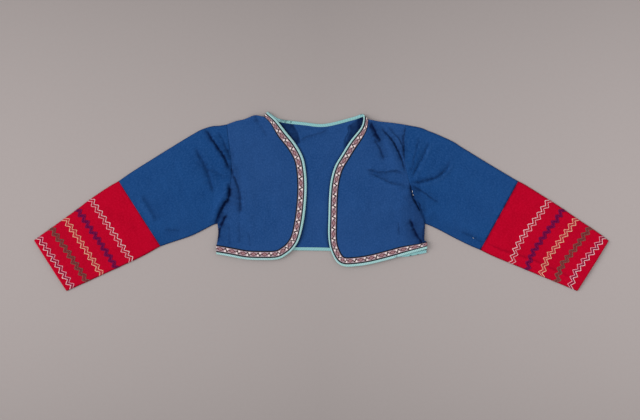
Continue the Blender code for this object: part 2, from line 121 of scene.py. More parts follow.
# Columns: distance along that edge from the neck tip, height of the front's underside.
FRONT_LEVEL = {
    "left": [(0, OVER_BINDING), (45, OVER_BINDING), (115, OVER_BACK), (225, OVER_BACK),
             (285, OVER_BINDING), (900, OVER_BINDING)],
    "right": [(0, OVER_BINDING), (45, OVER_BINDING), (115, OVER_BACK), (235, OVER_BACK),
              (295, OVER_BINDING), (900, OVER_BINDING)],
}
# Columns: x, y. The shoulder from the ribbon's inner edge to the armhole.
SHOULDER = {
    "left": [(-141, 195.2), (-150, 197), (-160, 195), (-178, 187.7), (-197, 183.5), (-217, 176)],
    "right": [(134, 182.5), (153, 180.8), (172, 178.3), (194, 175)],
}
# Columns: x, y. The armhole seam, from the shoulder to the underarm.
ARMHOLE = {
    "left": [(-217, 176), (-213, 140), (-208, 106), (-206, 71), (-210, 30), (-222, -5), (-239, -52)],
    "right": [(194, 175), (190, 129), (191, 94), (199, 53), (206, 30), (213, 5), (224, -18), (238, -52)],
}
# Columns: x, y. The side seam, from the underarm to the front's hem.
SIDE = {
    "left": [(-239, -52), (-237, -73), (-240, -101), (-241, -122)],
    "right": [(238, -52), (236, -92), (242, -110)],
}
# Columns: x, y. Upper and lower folded edge of each sleeve, from the body to the cuff seam.
SLEEVE_TOP = {
    "left": [(-217, 176), (-234, 173.2), (-251, 172), (-269, 166.8), (-288, 158), (-343, 124.9),
             (-398, 90.6), (-435, 67.4), (-466, 46)],
    "right": [(194, 175), (228, 168.4), (246, 161), (264.7, 153.8), (301, 137.2), (319.8, 125.2),
              (338, 114), (393, 80.5), (452, 45.5)],
}
SLEEVE_LOW = {
    "left": [(-239, -52), (-251, -55.9), (-287.5, -74.8), (-306, -82.6), (-343, -94.8), (-370, -104)],
    "right": [(238, -52), (264.5, -63.5), (301, -82.6), (338, -101), (365, -112.5)],
}
# Columns: x, y. Folded edges of each cuff, from its seam to its end.
CUFF_TOP = {
    "left": [(-466, 46), (-490, 32.2), (-527, 7.5), (-564, -20.5), (-600.5, -47), (-637, -73),
             (-660.5, -90)],
    "right": [(452, 45.5), (467, 38), (504, 15), (541, -8.5), (596, -46), (632, -70), (660, -91)],
}
CUFF_LOW = {
    "left": [(-370, -104), (-380, -109.5), (-416.5, -129.5), (-490, -163.5), (-545, -188.5),
             (-585.5, -207)],
    "right": [(365, -112.5), (393, -126.3), (430, -141.8), (504, -172.4), (587.5, -207)],
}
# Columns: x, y. The bound edges of the back: its neck from tip to tip, and its hem.
BACK_NECK = [
    (-124.5, 204.5), (-108, 192.5), (-96, 187), (-68, 182.6), (-35, 179), (-12, 176), (8, 176),
    (32, 180.5), (60, 188), (78, 193), (90, 197.5), (96, 198.5),
]
BACK_HEM = [
    (-241, -112), (-120, -112.5), (20, -114), (95, -120), (150, -126), (190, -127.4), (206, -125.4),
    (222, -122.2), (241, -118.5),
]
# The directions in which the ends of a bound edge are cut off. Columns: x, y.
FRONT_END = {"left": [(-0.57, -0.82), (-0.02, 1)], "right": [(0.7, -0.7), (0.02, 1)]}
BACK_NECK_ENDS = [(-0.57, -0.82), (0.6, -0.8)]
BACK_HEM_ENDS = [(0, 1), (0, 1)]
# Share of the ribbon's width that shows at the two ends of each front's edge, where it turns over
# the shoulder and round the side. Columns: at the neck tip, at the side seam.
SHOWN = {"left": (0.5, 1.0), "right": (0.35, 0.62)}

# The solids' folds. Columns: name, height (a trough is negative), half width, route.
FOLDS = {
    "left": [
        ("pleat ridge", 1.5, 15, [(-262, 144), (-240, 124), (-222, 92), (-220, 66)]),
        ("pleat trough", -1.4, 10, [(-268, 160), (-250, 143), (-229, 117), (-215, 90), (-210, 71)]),
        ("underarm trough", -1.6, 11, [(-214, 30), (-216, 5), (-227, -14), (-236, -40)]),
        ("underarm ridge", 1.4, 15, [(-231, 42), (-234, 8), (-246, -20)]),
        ("body trough", -0.9, 12, [(-197, 67), (-190, 37), (-187, 2), (-187, -78)]),
        ("body ridge", 1.2, 20, [(-170, 80), (-166, 30), (-168, -70)]),
        ("sleeve trough", -0.9, 16, [(-279, 108), (-263, 74), (-254, 35)]),
        ("sleeve ridge", 1.0, 26, [(-320, 100), (-300, 50), (-285, 0)]),
        ("elbow trough", -0.8, 16, [(-412, 7), (-395, -14), (-381, -34)]),
    ],
    "right": [
        ("neck trough", -1.3, 12, [(116, 170), (135, 140), (146, 83)]),
        ("shoulder trough", -1.2, 10, [(164, 150), (178, 117), (188, 86), (196, 56)]),
        ("shoulder ridge", 1.4, 13, [(148, 150), (162, 112), (176, 70)]),
        ("cap trough", -1.0, 12, [(243, 138), (229, 94), (208, 50)]),
        ("cap ridge", 1.4, 18, [(262, 132), (250, 92), (232, 60)]),
        ("elbow trough", -1.2, 13, [(293, 90), (268, 58), (232, 43)]),
        ("chest trough", -0.8, 12, [(105, 71), (137, 67), (169, 60)]),
        ("underarm trough", -1.5, 11, [(207, 27), (213, 8), (226, -10), (236, -40)]),
        ("underarm ridge", 1.4, 15, [(240, 34), (243, 4), (252, -18)]),
        ("side trough", -1.2, 11, [(206, -38), (214, -66), (226, -90)]),
        ("side ridge", 1.3, 18, [(186, -10), (188, -50), (194, -84)]),
    ],
}
# Finer creases, which only show on the cloth: on one side of each the cloth puffs up, and its crest gets
# painted highlight.
# Columns: name, height of the puff, its reach (to the left of the route; minus is to its right),
# depth of the line, its width, how dark its painted shade is, route.
CREASES = {
    "left": [
        ("pleat", 3.0, 16, 2.8, 4.4, 1.0,
         [(-272, 168), (-260, 156), (-249, 139), (-232, 115), (-218, 91), (-211, 66)]),
        ("pleat back", 1.2, 10, 0.8, 3.4, 0.4,
         [(-240, 162), (-228, 143), (-221, 130), (-213, 112), (-208, 88)]),
        ("underarm pleat", 3.4, -22, 3.8, 5.6, 1.0,
         [(-214, 44), (-212, 22), (-214, 6), (-224, -6), (-231, -20), (-237, -34), (-247, -60)]),
        ("underarm fold", 1.8, 14, 3.0, 5.4, 1.0,
         [(-214, -28), (-224, -44), (-230, -57), (-235, -72), (-240, -98)]),
        ("body fold", 1.6, 18, 1.2, 5.0, 0.60,
         [(-210, 92), (-205, 68), (-196, 45), (-189, 24), (-186, 4), (-187, -36)]),
        ("armhole tuck", 0.8, 8, 0.7, 2.6, 0.35, [(-225, 133), (-219, 118), (-213, 106), (-216, 122)]),
        ("sleeve fold", 1.8, 22, 1.2, 5.4, 0.46,
         [(-290, 128), (-282, 108), (-269, 85), (-257, 54), (-246, 14)]),
        ("cap fold", 1.0, 14, 0.6, 6.0, 0.22, [(-292, 92), (-262, 74), (-238, 64), (-214, 50)]),
        ("elbow fold", 1.2, -24, 0.4, 8.0, 0.23, [(-416, 16), (-398, -8), (-383, -34), (-380, -50)]),
        ("wrist crease", 0.6, 12, 0.5, 3.5, 0.26, [(-362, -64), (-343, -67), (-323, -67)]),
        ("lower body crease", 0.7, 10, 0.4, 4.0, 0.22, [(-211, -50), (-211, -106)]),
        ("middle body crease", 0.7, 10, 0.4, 4.0, 0.22, [(-188, -46), (-187, -100)]),
        ("hem crease", 0.6, 9, 0.4, 4.0, 0.16, [(-166, -70), (-163, -106)]),
        ("collar crease", 0.6, 10, 0.3, 3.5, 0.18, [(-158, 190), (-138, 170), (-122, 146)]),
        ("shoulder dent", 0.8, 8, 0.5, 3.6, 0.30, [(-154, 204), (-150, 190), (-142, 178)]),
    ],
    "right": [
        ("neck pleat", 2.8, 16, 2.4, 5.0, 1.0, [(112, 184), (119, 168), (127, 152), (137, 134)]),
        ("neck tuck", 1.2, 8, 1.0, 4.0, 0.60, [(107, 186), (112, 172), (118, 158), (125, 146)]),
        ("neck fold", 1.6, 14, 1.0, 5.0, 0.50, [(120, 146), (129, 130), (138, 114), (146, 92)]),
        ("shoulder pleat", 2.6, 14, 1.4, 3.2, 0.50,
         [(138, 168), (154, 150), (171, 126), (184, 96), (195, 62)]),
        ("shoulder line", 1.4, 10, 0.8, 3.4, 0.46,
         [(132, 176), (146, 158), (162, 140), (176, 116), (188, 84)]),
        ("shoulder crest", 1.4, -10, 0.8, 3.0, 0.40, [(150, 172), (166, 156), (182, 136), (192, 108)]),
        ("cap pleat", 2.4, 16, 1.2, 3.2, 0.42, [(248, 140), (240, 118), (228, 92), (206, 50)]),
        ("cap line", 1.4, 12, 0.8, 3.4, 0.34, [(226, 150), (220, 124), (213, 96), (204, 60)]),
        ("shoulder fold", 1.2, 9, 0.8, 3.2, 0.60, [(194, 172), (189, 146), (189, 120), (191, 94)]),
        ("elbow pleat", 2.4, 16, 1.2, 3.0, 0.40, [(300, 96), (274, 60), (240, 46), (206, 42)]),
        ("elbow line", 1.4, 12, 0.8, 2.8, 0.34, [(292, 74), (262, 54), (232, 46), (206, 42)]),
        ("upper chest crease", 1.8, 12, 1.0, 4.4, 0.34,
         [(100, 74), (120, 69), (144, 66), (176, 68), (194, 58)]),
        ("lower chest crease", 1.4, -14, 0.8, 4.0, 0.30,
         [(104, 64), (130, 56), (152, 45), (172, 38), (194, 36)]),
        ("underarm pleat", 3.2, 22, 2.8, 3.2, 0.85,
         [(203, 40), (206, 24), (212, 6), (219, -8), (228, -26)]),
        ("underarm fold", 2.0, 14, 1.6, 3.4, 0.60, [(222, 2), (228, -16), (234, -34), (240, -56)]),
        ("side fold", 1.4, -10, 1.6, 5.0, 0.60, [(238, -44), (235, -62), (233, -80), (238, -104)]),
        ("underarm crease", 1.6, 10, 1.0, 3.0, 0.50, [(206, 38), (232, 22), (252, 8), (270, -6)]),
        ("side pleat", 2.6, 14, 2.6, 5.2, 1.0, [(203, -38), (209, -56), (218, -76), (238, -106)]),
        ("side crease", 0.8, 9, 0.6, 2.6, 0.30, [(178, -47), (179, -80)]),
        ("forearm crease", 1.2, -16, 0.8, 3.4, 0.36, [(318, -69), (352, -85), (374, -97)]),
        ("cuff crease", 1.2, -14, 0.8, 2.4, 0.34,
         [(370, -91), (396, -105), (441, -122), (479, -133), (514, -149), (549, -165), (583, -182)]),
    ],
}
# Broad soft shade beside the folds. Columns: name, half width, how dark, route.
SHADES = {
    "left": [
        ("side", 9, 0.10, [(-222, -60), (-224, -112)]),
        ("armhole", 12, 0.08, [(-214, 120), (-204, 80), (-206, 40)]),
        ("sleeve low", 22, 0.05, [(-290, -60), (-330, -70), (-380, -96)]),
    ],
    "right": [
        ("side", 17, 0.30, [(208, 30), (214, 2), (224, -40), (226, -92)]),
        ("front low", 60, 0.05, [(110, -60), (180, -60)]),
        ("lower side", 15, 0.10, [(188, -20), (196, -60), (206, -96)]),
        ("neck", 10, 0.12, [(124, 172), (136, 140), (144, 110)]),
        ("sleeve low", 14, 0.10, [(250, -44), (300, -70), (352, -95)]),
    ],
}
# How deep the shade is in the seams.
ARMHOLE_SHADE = 0.12
SEAM_SHADE = {"left": 0.45, "right": 0.95}
# The creases of the back, where it shows between the fronts. Columns: as above.
BACK_CREASES = [
    ("left neck fold", 0.9, 12, 0.6, 4.0, 0.30, [(-70, 182), (-60, 166), (-53, 152), (-48, 132)]),
    ("right neck fold", 0.8, -12, 0.6, 4.0, 0.30, [(72, 176), (63, 170), (62, 156), (56, 142), (50, 126)]),
    ("upper crease", 0.8, 12, 0.5, 4.0, 0.26, [(-50, 141), (-20, 151), (18, 163)]),
    ("neck crease", 0.6, 10, 0.3, 3.0, 0.14, [(-60, 176), (-20, 166), (22, 168)]),
]
# The creases of the back under the fronts, which show on its underside as painted shade only. Columns: as
# above.
HIDDEN_CREASES = [
    ("left underarm crease", 0.8, 12, 0.5, 4.4, 0.62, [(-204, 66), (-208, 30), (-218, -4), (-232, -44)]),
    ("left side crease", 0.8, 12, 0.5, 4.4, 0.5, [(-222, -52), (-212, -78), (-206, -104)]),
    ("left blade crease", 0.8, 12, 0.5, 5.0, 0.4, [(-190, 158), (-160, 126), (-136, 84)]),
    ("left armhole crease", 0.8, 12, 0.5, 4.0, 0.4, [(-204, 120), (-186, 92), (-176, 52)]),
    ("right underarm crease", 0.8, 12, 0.5, 4.4, 0.62, [(194, 60), (200, 28), (212, -6), (230, -44)]),
    ("right side crease", 0.8, 12, 0.5, 4.4, 0.5, [(216, -50), (206, -78), (200, -108)]),
    ("right blade crease", 0.8, 12, 0.5, 5.0, 0.4, [(176, 154), (148, 122), (128, 82)]),
    ("right armhole crease", 0.8, 12, 0.5, 4.0, 0.4, [(186, 116), (172, 88), (166, 50)]),
]
# The back's hollows beside the neck, as painted shade only. Columns: softness of the border, how dark,
# outline.
HOLLOW_SHADES = [
    (2.2, 0.62, [(-110, 194), (-69, 184), (-61, 168), (-54, 152), (-49, 134), (-60, 128), (-100, 170)]),
    (2.4, 0.66, [(104, 200), (86, 191), (72, 180), (64, 172), (65, 158), (59, 143), (51, 124), (70, 128)]),
    (3.0, 0.62, [(104, 204), (90, 194), (82, 182), (84, 168), (100, 160)]),
]
# Darker places of the bindings: worn and frayed ones at the neck, and painted shade along the hems.
# Columns: x, y, half length, how dark.
GRIME_AND_SHADE = [
    (-70, 181, 1.8, 0.9), (-92, 185.5, 4.5, 0.45), (-83, 184, 5, 0.5), (-77, 183.5, 3, 0.25),
    (-245, -130, 5, 0.2), (205, -127, 3, 0.8), (222, -124, 2.5, 0.7), (91, 199, 2.5, 0.45),
    (-60, -114, 6, 0.15), (126, -122, 5, 0.2), (170, -127, 4, 0.25),
]
RIB_PITCH = 3.9  # of the bindings
RIB_HIGH = 0.13
RIB_SLANT = 0.7  # the binding is cut on the bias, so its ribs run slanting
BINDING_GREEN = rgb(140, 194, 172)
# The colour of the bindings' grime and of their painted shade.
BINDING_GRIME_AND_SHADE = rgb(20, 48, 62)
# The ribbon, charted by a formula: diamonds between hooks of a zigzag, white lines and dark selvedges.
CELL = 0.95
REPEAT = 27  # cells
RIBBON_ROWS = 17
RIBBON_SINK = 0.35  # how far it lies below the binding's top, and how far its sides drop from there
SELVEDGE = 3  # dark rows along each side
DIAMOND = 8  # half length of a diamond, in cells
CORE = 6.5  # how far from its outline the dark middle of a diamond begins, in cells
HOOK = 2  # half length of the steep leg of the line between two diamonds, in cells
STROKE = 1.6  # half width of the dark red line, in cells
RIBBON_YARN = {
    "black": rgb(10, 13, 22), "edge": rgb(178, 152, 160), "white": rgb(252, 232, 228),
    "red": rgb(46, 8, 18), "rose": rgb(96, 44, 52), "pink": rgb(182, 138, 142),
}
# The embroidery of a cuff. Columns: distance from the cuff's end, distance between the three lines,
# width of a stitch, colours of the outer, middle and inner line.
BANDS = [
    (15.3, 3.9, 1.9, "white", "violet", "pink"),
    (51.0, 3.9, 3.2, "olive", "brown", "moss"),
    (88.7, 3.9, 1.8, "cream", "green", "straw"),
    (125.0, 3.8, 3.4, "plum", "navy", "plum"),
    (163.0, 3.9, 1.9, "pale pink", "wine", "white"),
]
# How far a band is set off towards the seam. Columns: place round the cuff (0 its upper edge, 1 its
# lower one, 2 back again on the underside), distance.
BOW = {
    "left": [(0, -2), (0.15, -1), (0.5, 0.5), (0.8, 1), (1, 1), (1.5, 0), (2, -2)],
    "right": [(0, 0), (0.25, 4), (0.5, 8.5), (0.72, 12), (0.85, 9), (1, 2.5), (1.5, 0), (2, 0)],
}
THREADS = {
    "white": rgb(248, 216, 220), "violet": rgb(128, 36, 80), "pink": rgb(240, 170, 188),
    "olive": rgb(132, 84, 76), "brown": rgb(124, 60, 60), "moss": rgb(124, 80, 74),
    "cream": rgb(252, 208, 172), "green": rgb(210, 84, 92), "straw": rgb(250, 190, 160),
    "plum": rgb(126, 10, 76), "navy": rgb(100, 4, 76),
    "pale pink": rgb(248, 180, 190), "wine": rgb(196, 44, 64), "end": rgb(236, 236, 232),
}
# Ends of thread on the right half. Columns: x, y of one end, x, y of the other.
LOOSE_ENDS = [(208.2, 24, 209, 19.4), (209.6, 16.4, 211.4, 12.4), (347.6, -84.4, 349.4, -85.8)]
LOOSE_WIDE = 1.2
ZIGZAG_PERIOD = 15.9
ZIGZAG_HIGH = 8.4
UNEVEN = 0.5  # how far the corners of a zigzag stray, in mm
STITCHES_A_LEG = 4
STITCH_HIGH = 0.8
# Columns: the cloth's colour, its darker and lighter mottling, its painted shade deep in a crease, and its
# painted highlight on a crest beside a crease, which also tints the lighter flecks.
COTTONS = {
    "blue cotton": (rgb(31, 72, 126), rgb(24, 64, 117), rgb(42, 78, 132), rgb(3, 12, 48),
                    rgb(54, 92, 148)),
    "blue cotton of the sleeves": (rgb(23, 69, 124), rgb(17, 61, 115), rgb(34, 75, 130),
                                   rgb(3, 12, 48), rgb(48, 90, 146)),
    "red cotton": (rgb(187, 0, 36), rgb(173, 0, 32), rgb(195, 2, 41), rgb(84, 0, 26),
                   rgb(206, 12, 52)),
}

# The picture and its place on the jacket.
SCALE_PX = 2.3  # mm of the jacket's plane to a pixel of the 640 by 420 picture
IMAGE = (640, 420)
BOX_CENTRE_PX = (321.5, 201.0)
LENS = 50.0
SENSOR = 36.0
FLOOR_COLOUR = rgb(180, 170, 167)
FLOOR_GRAIN = rgb(159, 148, 145)
FLOOR_LEVEL = -0.4
SUN = (-0.82, 0.06, 0.45)  # the direction from which the light comes
SUN_ENERGY = 1.55
SUN_ANGLE = 34  # degrees; the wider, the softer its shadows
SKY_STRENGTH = 0.74


def smooth_curve(points, step):
    """Points about step apart on a smooth curve through the given ones."""
    p = np.array(points, float)
    p = np.vstack([2 * p[0] - p[1], p, 2 * p[-1] - p[-2]])
    fine = []
    for a, b, c, d in zip(p[:-3], p[1:-2], p[2:-1], p[3:]):
        for t in np.arange(0, 1, 0.05):
            fine.append(0.5 * (2 * b + (c - a) * t + (2 * a - 5 * b + 4 * c - d) * t**2
                               + (3 * b - a - 3 * c + d) * t**3))
    fine = np.array(fine + [p[-2]])
    along = lengths_along(fine)
    count = max(2, round(along[-1] / step) + 1)
    return read_at(fine, along, np.linspace(0, along[-1], count))


def lengths_along(line):
    return np.concatenate([[0], np.cumsum(np.linalg.norm(np.diff(line, axis=0), axis=1))])


def read_at(line, along, at):
    return np.stack([np.interp(at, along, line[:, k]) for k in range(line.shape[1])], 1)


def at_shares(line, shares):
    return read_at(line, np.linspace(0, 1, len(line)), shares)


def nearest(points, line):
    """For each point: its distance to a polyline, the share of the line there, and its side."""
    points = np.atleast_2d(points)
    best = np.full(len(points), np.inf)
    share = np.zeros(len(points))
    side = np.ones(len(points))
    starts = lengths_along(line)
    for i, (a, b) in enumerate(zip(line[:-1], line[1:])):
        run = b - a
        t = np.clip(((points - a) @ run) / max(run @ run, 1e-9), 0, 1)
        off = points - (a + t[:, None] * run)
        d = np.linalg.norm(off, axis=1)
        nearer = d < best
        best[nearer] = d[nearer]
        share[nearer] = ((starts[i] + t * (starts[i + 1] - starts[i])) / starts[-1])[nearer]
        side[nearer] = np.sign(run[0] * off[:, 1] - run[1] * off[:, 0])[nearer]
    return best, share, side


def smooth_step(x):
    x = np.clip(x, 0, 1)
    return x * x * (3 - 2 * x)


def round_rise(x):
    """From 0 to 1 like the side of a rounded fold."""
    x = np.clip(x, 0, 1)
    return np.sqrt(1 - (1 - x) ** 2)


def ripple(points, longest, shortest, seed):
    """Soft unevenness of about -1 to 1, made of waves in many directions."""
    draw = np.random.default_rng(seed)
    waves = 14
    total = np.zeros(len(points))
    for length in np.geomspace(longest, shortest, waves):
        angle = draw.uniform(0, math.tau)
        phase = draw.uniform(0, math.tau)
        way = np.array([math.cos(angle), math.sin(angle)]) * math.tau / length
        total += np.sin(points @ way + phase)
    return total / math.sqrt(waves)


class Edge:
    """A bound edge: stations along it, and lines across it that end flush with its neighbours."""

    def __init__(self, points, inward, ends, shown=(1.0, 1.0), binding=0.0, plump=0.0):
        self.inward = inward
        self.line = smooth_curve(points, STEP)
        self.along = lengths_along(self.line)
        run = np.gradient(self.line, axis=0)
        run /= np.linalg.norm(run, axis=1)[:, None]
        normal = inward * np.stack([-run[:, 1], run[:, 0]], 1)
        even = np.ones(len(self.line))
        self.level, self.binding, self.plump = BOUND_LEVEL * even, binding * even, plump * even
        self.across, self.shown = normal.copy(), even
        for end, least, from_end in zip(ends, shown, (self.along, self.along[-1] - self.along)):
            end = np.array(end, float) / np.linalg.norm(end)
            share = np.clip(1 - from_end / MITRE, 0, 1)[:, None]
            way = share * end + (1 - share) * normal
            way /= np.sum(way * normal, axis=1)[:, None]
            self.across = np.where(share > 0, way, self.across)
            self.shown = self.shown - (1 - least) * (1 - smooth_step(from_end / TIP_REACH))

    def rail(self, distance):
        return self.reach(self.along, distance)

    def reach(self, at, distance):
        """Points at a distance inside the edge; less of the ribbon shows near its ends."""
        beyond = np.maximum(distance - RIBBON_OUT, 0)
        far = distance - beyond + beyond * np.interp(at, self.along, self.shown)
        line, across = read_at(self.line, self.along, at), read_at(self.across, self.along, at)
        return line + far[:, None] * across


class Creases:
    """Lines pressed or slept into the cloth, each with a puff along one of its sides."""

    def __init__(self, table):
        self.rows = [(*row[1:6], smooth_curve(row[6], 4.0)) for row in table]

    @staticmethod
    def beside(points, route):
        """Distance to a route that strays a little, the share of it there, and the side."""
        d, share, side = nearest(points, route)
        off = side * d + STRAY * ripple(points, 34, 7, 31)
        return np.abs(off), share, np.sign(off)

    def relief(self, points):
        lift = np.zeros(len(points))
        for height, reach, depth, width, _, route in self.rows:
            d, share, side = self.beside(points, route)
            ends = smooth_step(6 * share * (1 - share))
            puffed = side * np.sign(reach) > 0
            crest = 0.7 * width
            rising = np.sin(math.pi / 2 * np.clip(d / crest, 0, 1))
            falling = 0.5 + 0.5 * np.cos(math.pi * np.clip((d - crest) / (abs(reach) - crest), 0, 1))
            puff = np.where(puffed, np.where(d < crest, rising, falling), 0)
            lift += ends * (height * puff - depth * np.exp(-(d / (0.55 * width)) ** 2))
        return lift

    def shade(self, points):
        """How dark the lines are at each point, 0 to 1: little light reaches into them."""
        clear = np.ones(len(points))
        uneven = 0.12 * ripple(points, 26, 8, 37)
        for _, reach, _, width, most, route in self.rows:
            d, share, side = self.beside(points, route)
            ends = smooth_step(7 * share * (1 - share))
            away = np.where(side * np.sign(reach) > 0, 0.5, 0.95) * width * (1 + 1.6 * uneven)
            line = 0.76 * np.exp(-(d / away) ** 2) + 0.24 * np.exp(-(d / (3 * away)) ** 2)
            clear *= 1 - np.clip(most * (1 + uneven), 0, 1) * ends * line
        return 1 - clear

    def painted_highlight(self, points):
        """How much painted highlight the puffed cloth beside the lines gets, 0 to 1."""
        highlight = np.zeros(len(points))
        for height, reach, _, width, _, route in self.rows:
            d, share, side = self.beside(points, route)
            ends = smooth_step(5 * share * (1 - share))
            crest = np.exp(-(((d - 0.5 * width - 0.22 * abs(reach)) / (0.22 * abs(reach))) ** 2))
            highlight = np.maximum(highlight, ends * crest * np.clip(height / 3, 0, 1) * (side * np.sign(reach) > 0))
        return highlight

    def within(self, points):
        """Distance to the nearest line, in widths of that line."""
        return np.min([nearest(points, route)[0] / width for *_, width, _, route in self.rows], axis=0)


def level_between(along, knots):
    """Heights between the rows of a level table, with soft bends at the rows."""
    i = np.clip(np.searchsorted(knots[:, 0], along, side="right") - 1, 0, len(knots) - 2)
    t = (along - knots[i, 0]) / (knots[i + 1, 0] - knots[i, 0])
    return knots[i, 1] + (knots[i + 1, 1] - knots[i, 1]) * smooth_step(t)


class Side:
    """One half of the jacket: its curves and the form of its upper layer."""

    def __init__(self, name):
        self.name = name
        self.out = -1 if name == "left" else 1
        self.edge = Edge(FRONT_EDGE[name], self.out, FRONT_END[name], SHOWN[name])
        self.edge.level = level_between(self.edge.along, np.array(FRONT_LEVEL[name], float))
        self.edge.level += 0.25 * ripple(self.edge.line, 90, 30, 5)
        turned = smooth_step((self.edge.along - TURN[0]) / TURN[1])
        self.edge.binding = (1 - turned) * SHOWN_FRONT[name][0] + turned * SHOWN_FRONT[name][1]
        self.over = (1 - turned) * RIBBON_OVER[name][0] + turned * RIBBON_OVER[name][1]
        first, last = PLUMP_REACH
        self.edge.plump = PLUMP * (smooth_step(self.edge.along / first)
                                   * smooth_step((last - self.edge.along) / first))
        self.armhole = smooth_curve(ARMHOLE[name], STEP)
        self.inner = self.edge.rail(BAND)
        self.shoulder = smooth_curve([tuple(self.inner[0])] + SHOULDER[name], STEP)
        self.side = smooth_curve(SIDE[name], STEP)
        sleeve_top, cuff_top, sleeve_low, cuff_low = (
            smooth_curve(table[name], STEP) for table in (SLEEVE_TOP, CUFF_TOP, SLEEVE_LOW, CUFF_LOW))
        self.closed = [np.vstack([FRONT_EDGE[name][:1], self.shoulder, sleeve_top, cuff_top]),
                       np.vstack([self.side[::-1], sleeve_low, cuff_low])]
        self.folds = [(height, width, smooth_curve(route, 5.0))
                      for _, height, width, route in FOLDS[name]]
        self.creases = Creases(CREASES[name])
        self.cuff_seam = np.array([SLEEVE_TOP[name][-1], SLEEVE_LOW[name][-1]], float)
        self.cuff_end = np.array([CUFF_TOP[name][-1], CUFF_LOW[name][-1]], float)

    def relief(self, points):
        """How far the folds and creases stand up or sink at each point."""
        lift = np.zeros(len(points))
        for height, width, route in self.folds:
            d, share, _ = nearest(points, route)
            ends = np.clip(4 * share * (1 - share) * END_TAPER, END_LEAST, 1)
            lift += height * ends * (0.5 + 0.5 * np.cos(math.pi * np.clip(d / width, 0, 1)))
        return lift + self.creases.relief(points)

    def shade(self, points):
        """How much painted shade each point gets, 0 to 1; values below 0 give painted highlight instead.
        """
        clear = 1 - self.creases.shade(points)
        for line, most, width in ((self.armhole, ARMHOLE_SHADE, 1.6),
                                  (self.cuff_seam, SEAM_SHADE[self.name], 2.5)):
            strength = most * np.clip(0.8 + 0.4 * ripple(points, 40, 9, 23), 0, 1)
            clear *= 1 - strength * np.exp(-((nearest(points, line)[0] / width) ** 2))
        uneven = 1 + 0.3 * ripple(points, 50, 14, 43)
        for _, width, most, route in SHADES[self.name]:
            off = nearest(points, smooth_curve(route, 4.0))[0] / (width * uneven)
            clear *= 1 - most * np.exp(-(off**2))
        # Away from the painted shade, the puffed crests get painted highlight, as values below 0.
        return np.where(clear < 0.97, 1 - clear, -self.creases.painted_highlight(points))

    def upper(self, points):
        """Height of the upper layer's underside over the sleeves and away from the bound edge."""
        edge = np.min([nearest(points, line)[0] for line in self.closed], axis=0)
        lift = LOFT + self.relief(points) + 0.35 * ripple(points, 120, 16, 11)
        rise = smooth_step(edge / LOFT_REACH)
        seam = nearest(points, self.armhole)[0]
        groove = (0.3 + 0.25 * ripple(points, 34, 8, 29)) * np.exp(-((seam / 2.2) ** 2))
        high = SEAM_LEVEL + rise * lift + 1.2 * round_rise(edge / 9) - groove
        return np.maximum(high, SEAM_LEVEL)

    def front(self, points):
        """Height of the front's underside, which comes down from its bound edge."""
        d, share, _ = nearest(points, self.inner)
        band = np.interp(share, np.linspace(0, 1, len(self.inner)), self.edge.level)
        blend = smooth_step(d / BAND_REACH)
        return (1 - blend) * band + blend * self.upper(points)


def inside(points, outline):
    hit = np.zeros(len(points), bool)
    for a, b in zip(outline, np.roll(outline, -1, axis=0)):
        crosses = (a[1] > points[:, 1]) != (b[1] > points[:, 1])
        rise = b[1] - a[1] if b[1] != a[1] else 1e-9
        hit ^= crosses & (points[:, 0] < (b[0] - a[0]) * (points[:, 1] - a[1]) / rise + a[0])
    return hit


def hex_grid(outline, spacing, clear):
    """Points of an even grid inside an outline, at least clear away from it."""
    low, high = outline.min(0), outline.max(0)
    rows = []
    for k, y in enumerate(np.arange(low[1], high[1], spacing * math.sqrt(3) / 2)):
        start = low[0] + (k % 2) * spacing / 2
        rows += [(x, y) for x in np.arange(start, high[0], spacing)]
    points = np.array(rows)
    points = points[inside(points, outline)]
    return points[nearest(points, np.vstack([outline, outline[:1]]))[0] > clear]


def crease_grid(creases, outline, step):
    """An even grid that is finer beside the creases."""
    wide = hex_grid(outline, step, step * 0.6)
    fine = hex_grid(outline, FINE_GRID, FINE_GRID)
    return np.vstack([wide[creases.within(wide) > 1.9], fine[creases.within(fine) < 1.7]])


def triangulated(outline, grid):
    """Triangles over an outline's points followed by the grid's points, all facing up."""
    points = [Vector(p) for p in np.vstack([outline, grid])]
    ring = list(range(len(outline)))
    verts, _, faces, origins, _, _ = delaunay_2d_cdt(points, [], [ring], 1, 1e-6)
    if any(not o for o in origins):
        raise ValueError("the outline crosses itself")
    flat, faces = np.array([v[:] for v in verts]), np.array(faces)
    a, b, c = (flat[faces[:, k]] for k in range(3))
    turn = (b[:, 0] - a[:, 0]) * (c[:, 1] - a[:, 1]) - (b[:, 1] - a[:, 1]) * (c[:, 0] - a[:, 0])
    faces = np.array([o[0] for o in origins])[faces]
    faces[turn < 0] = faces[turn < 0][:, ::-1]
    return faces.tolist()


def grid_faces(rows, columns, first=0):
    """Four-sided faces over a grid of points that is stored row by row."""
    faces = []
    for r in range(rows - 1):
        for c in range(columns - 1):
            a = first + r * columns + c
            faces.append((a, a + 1, a + columns + 1, a + columns))
    return faces


def placed(name, data):
    made = bpy.data.objects.new(name, data)
    bpy.context.collection.objects.link(made)
    return made


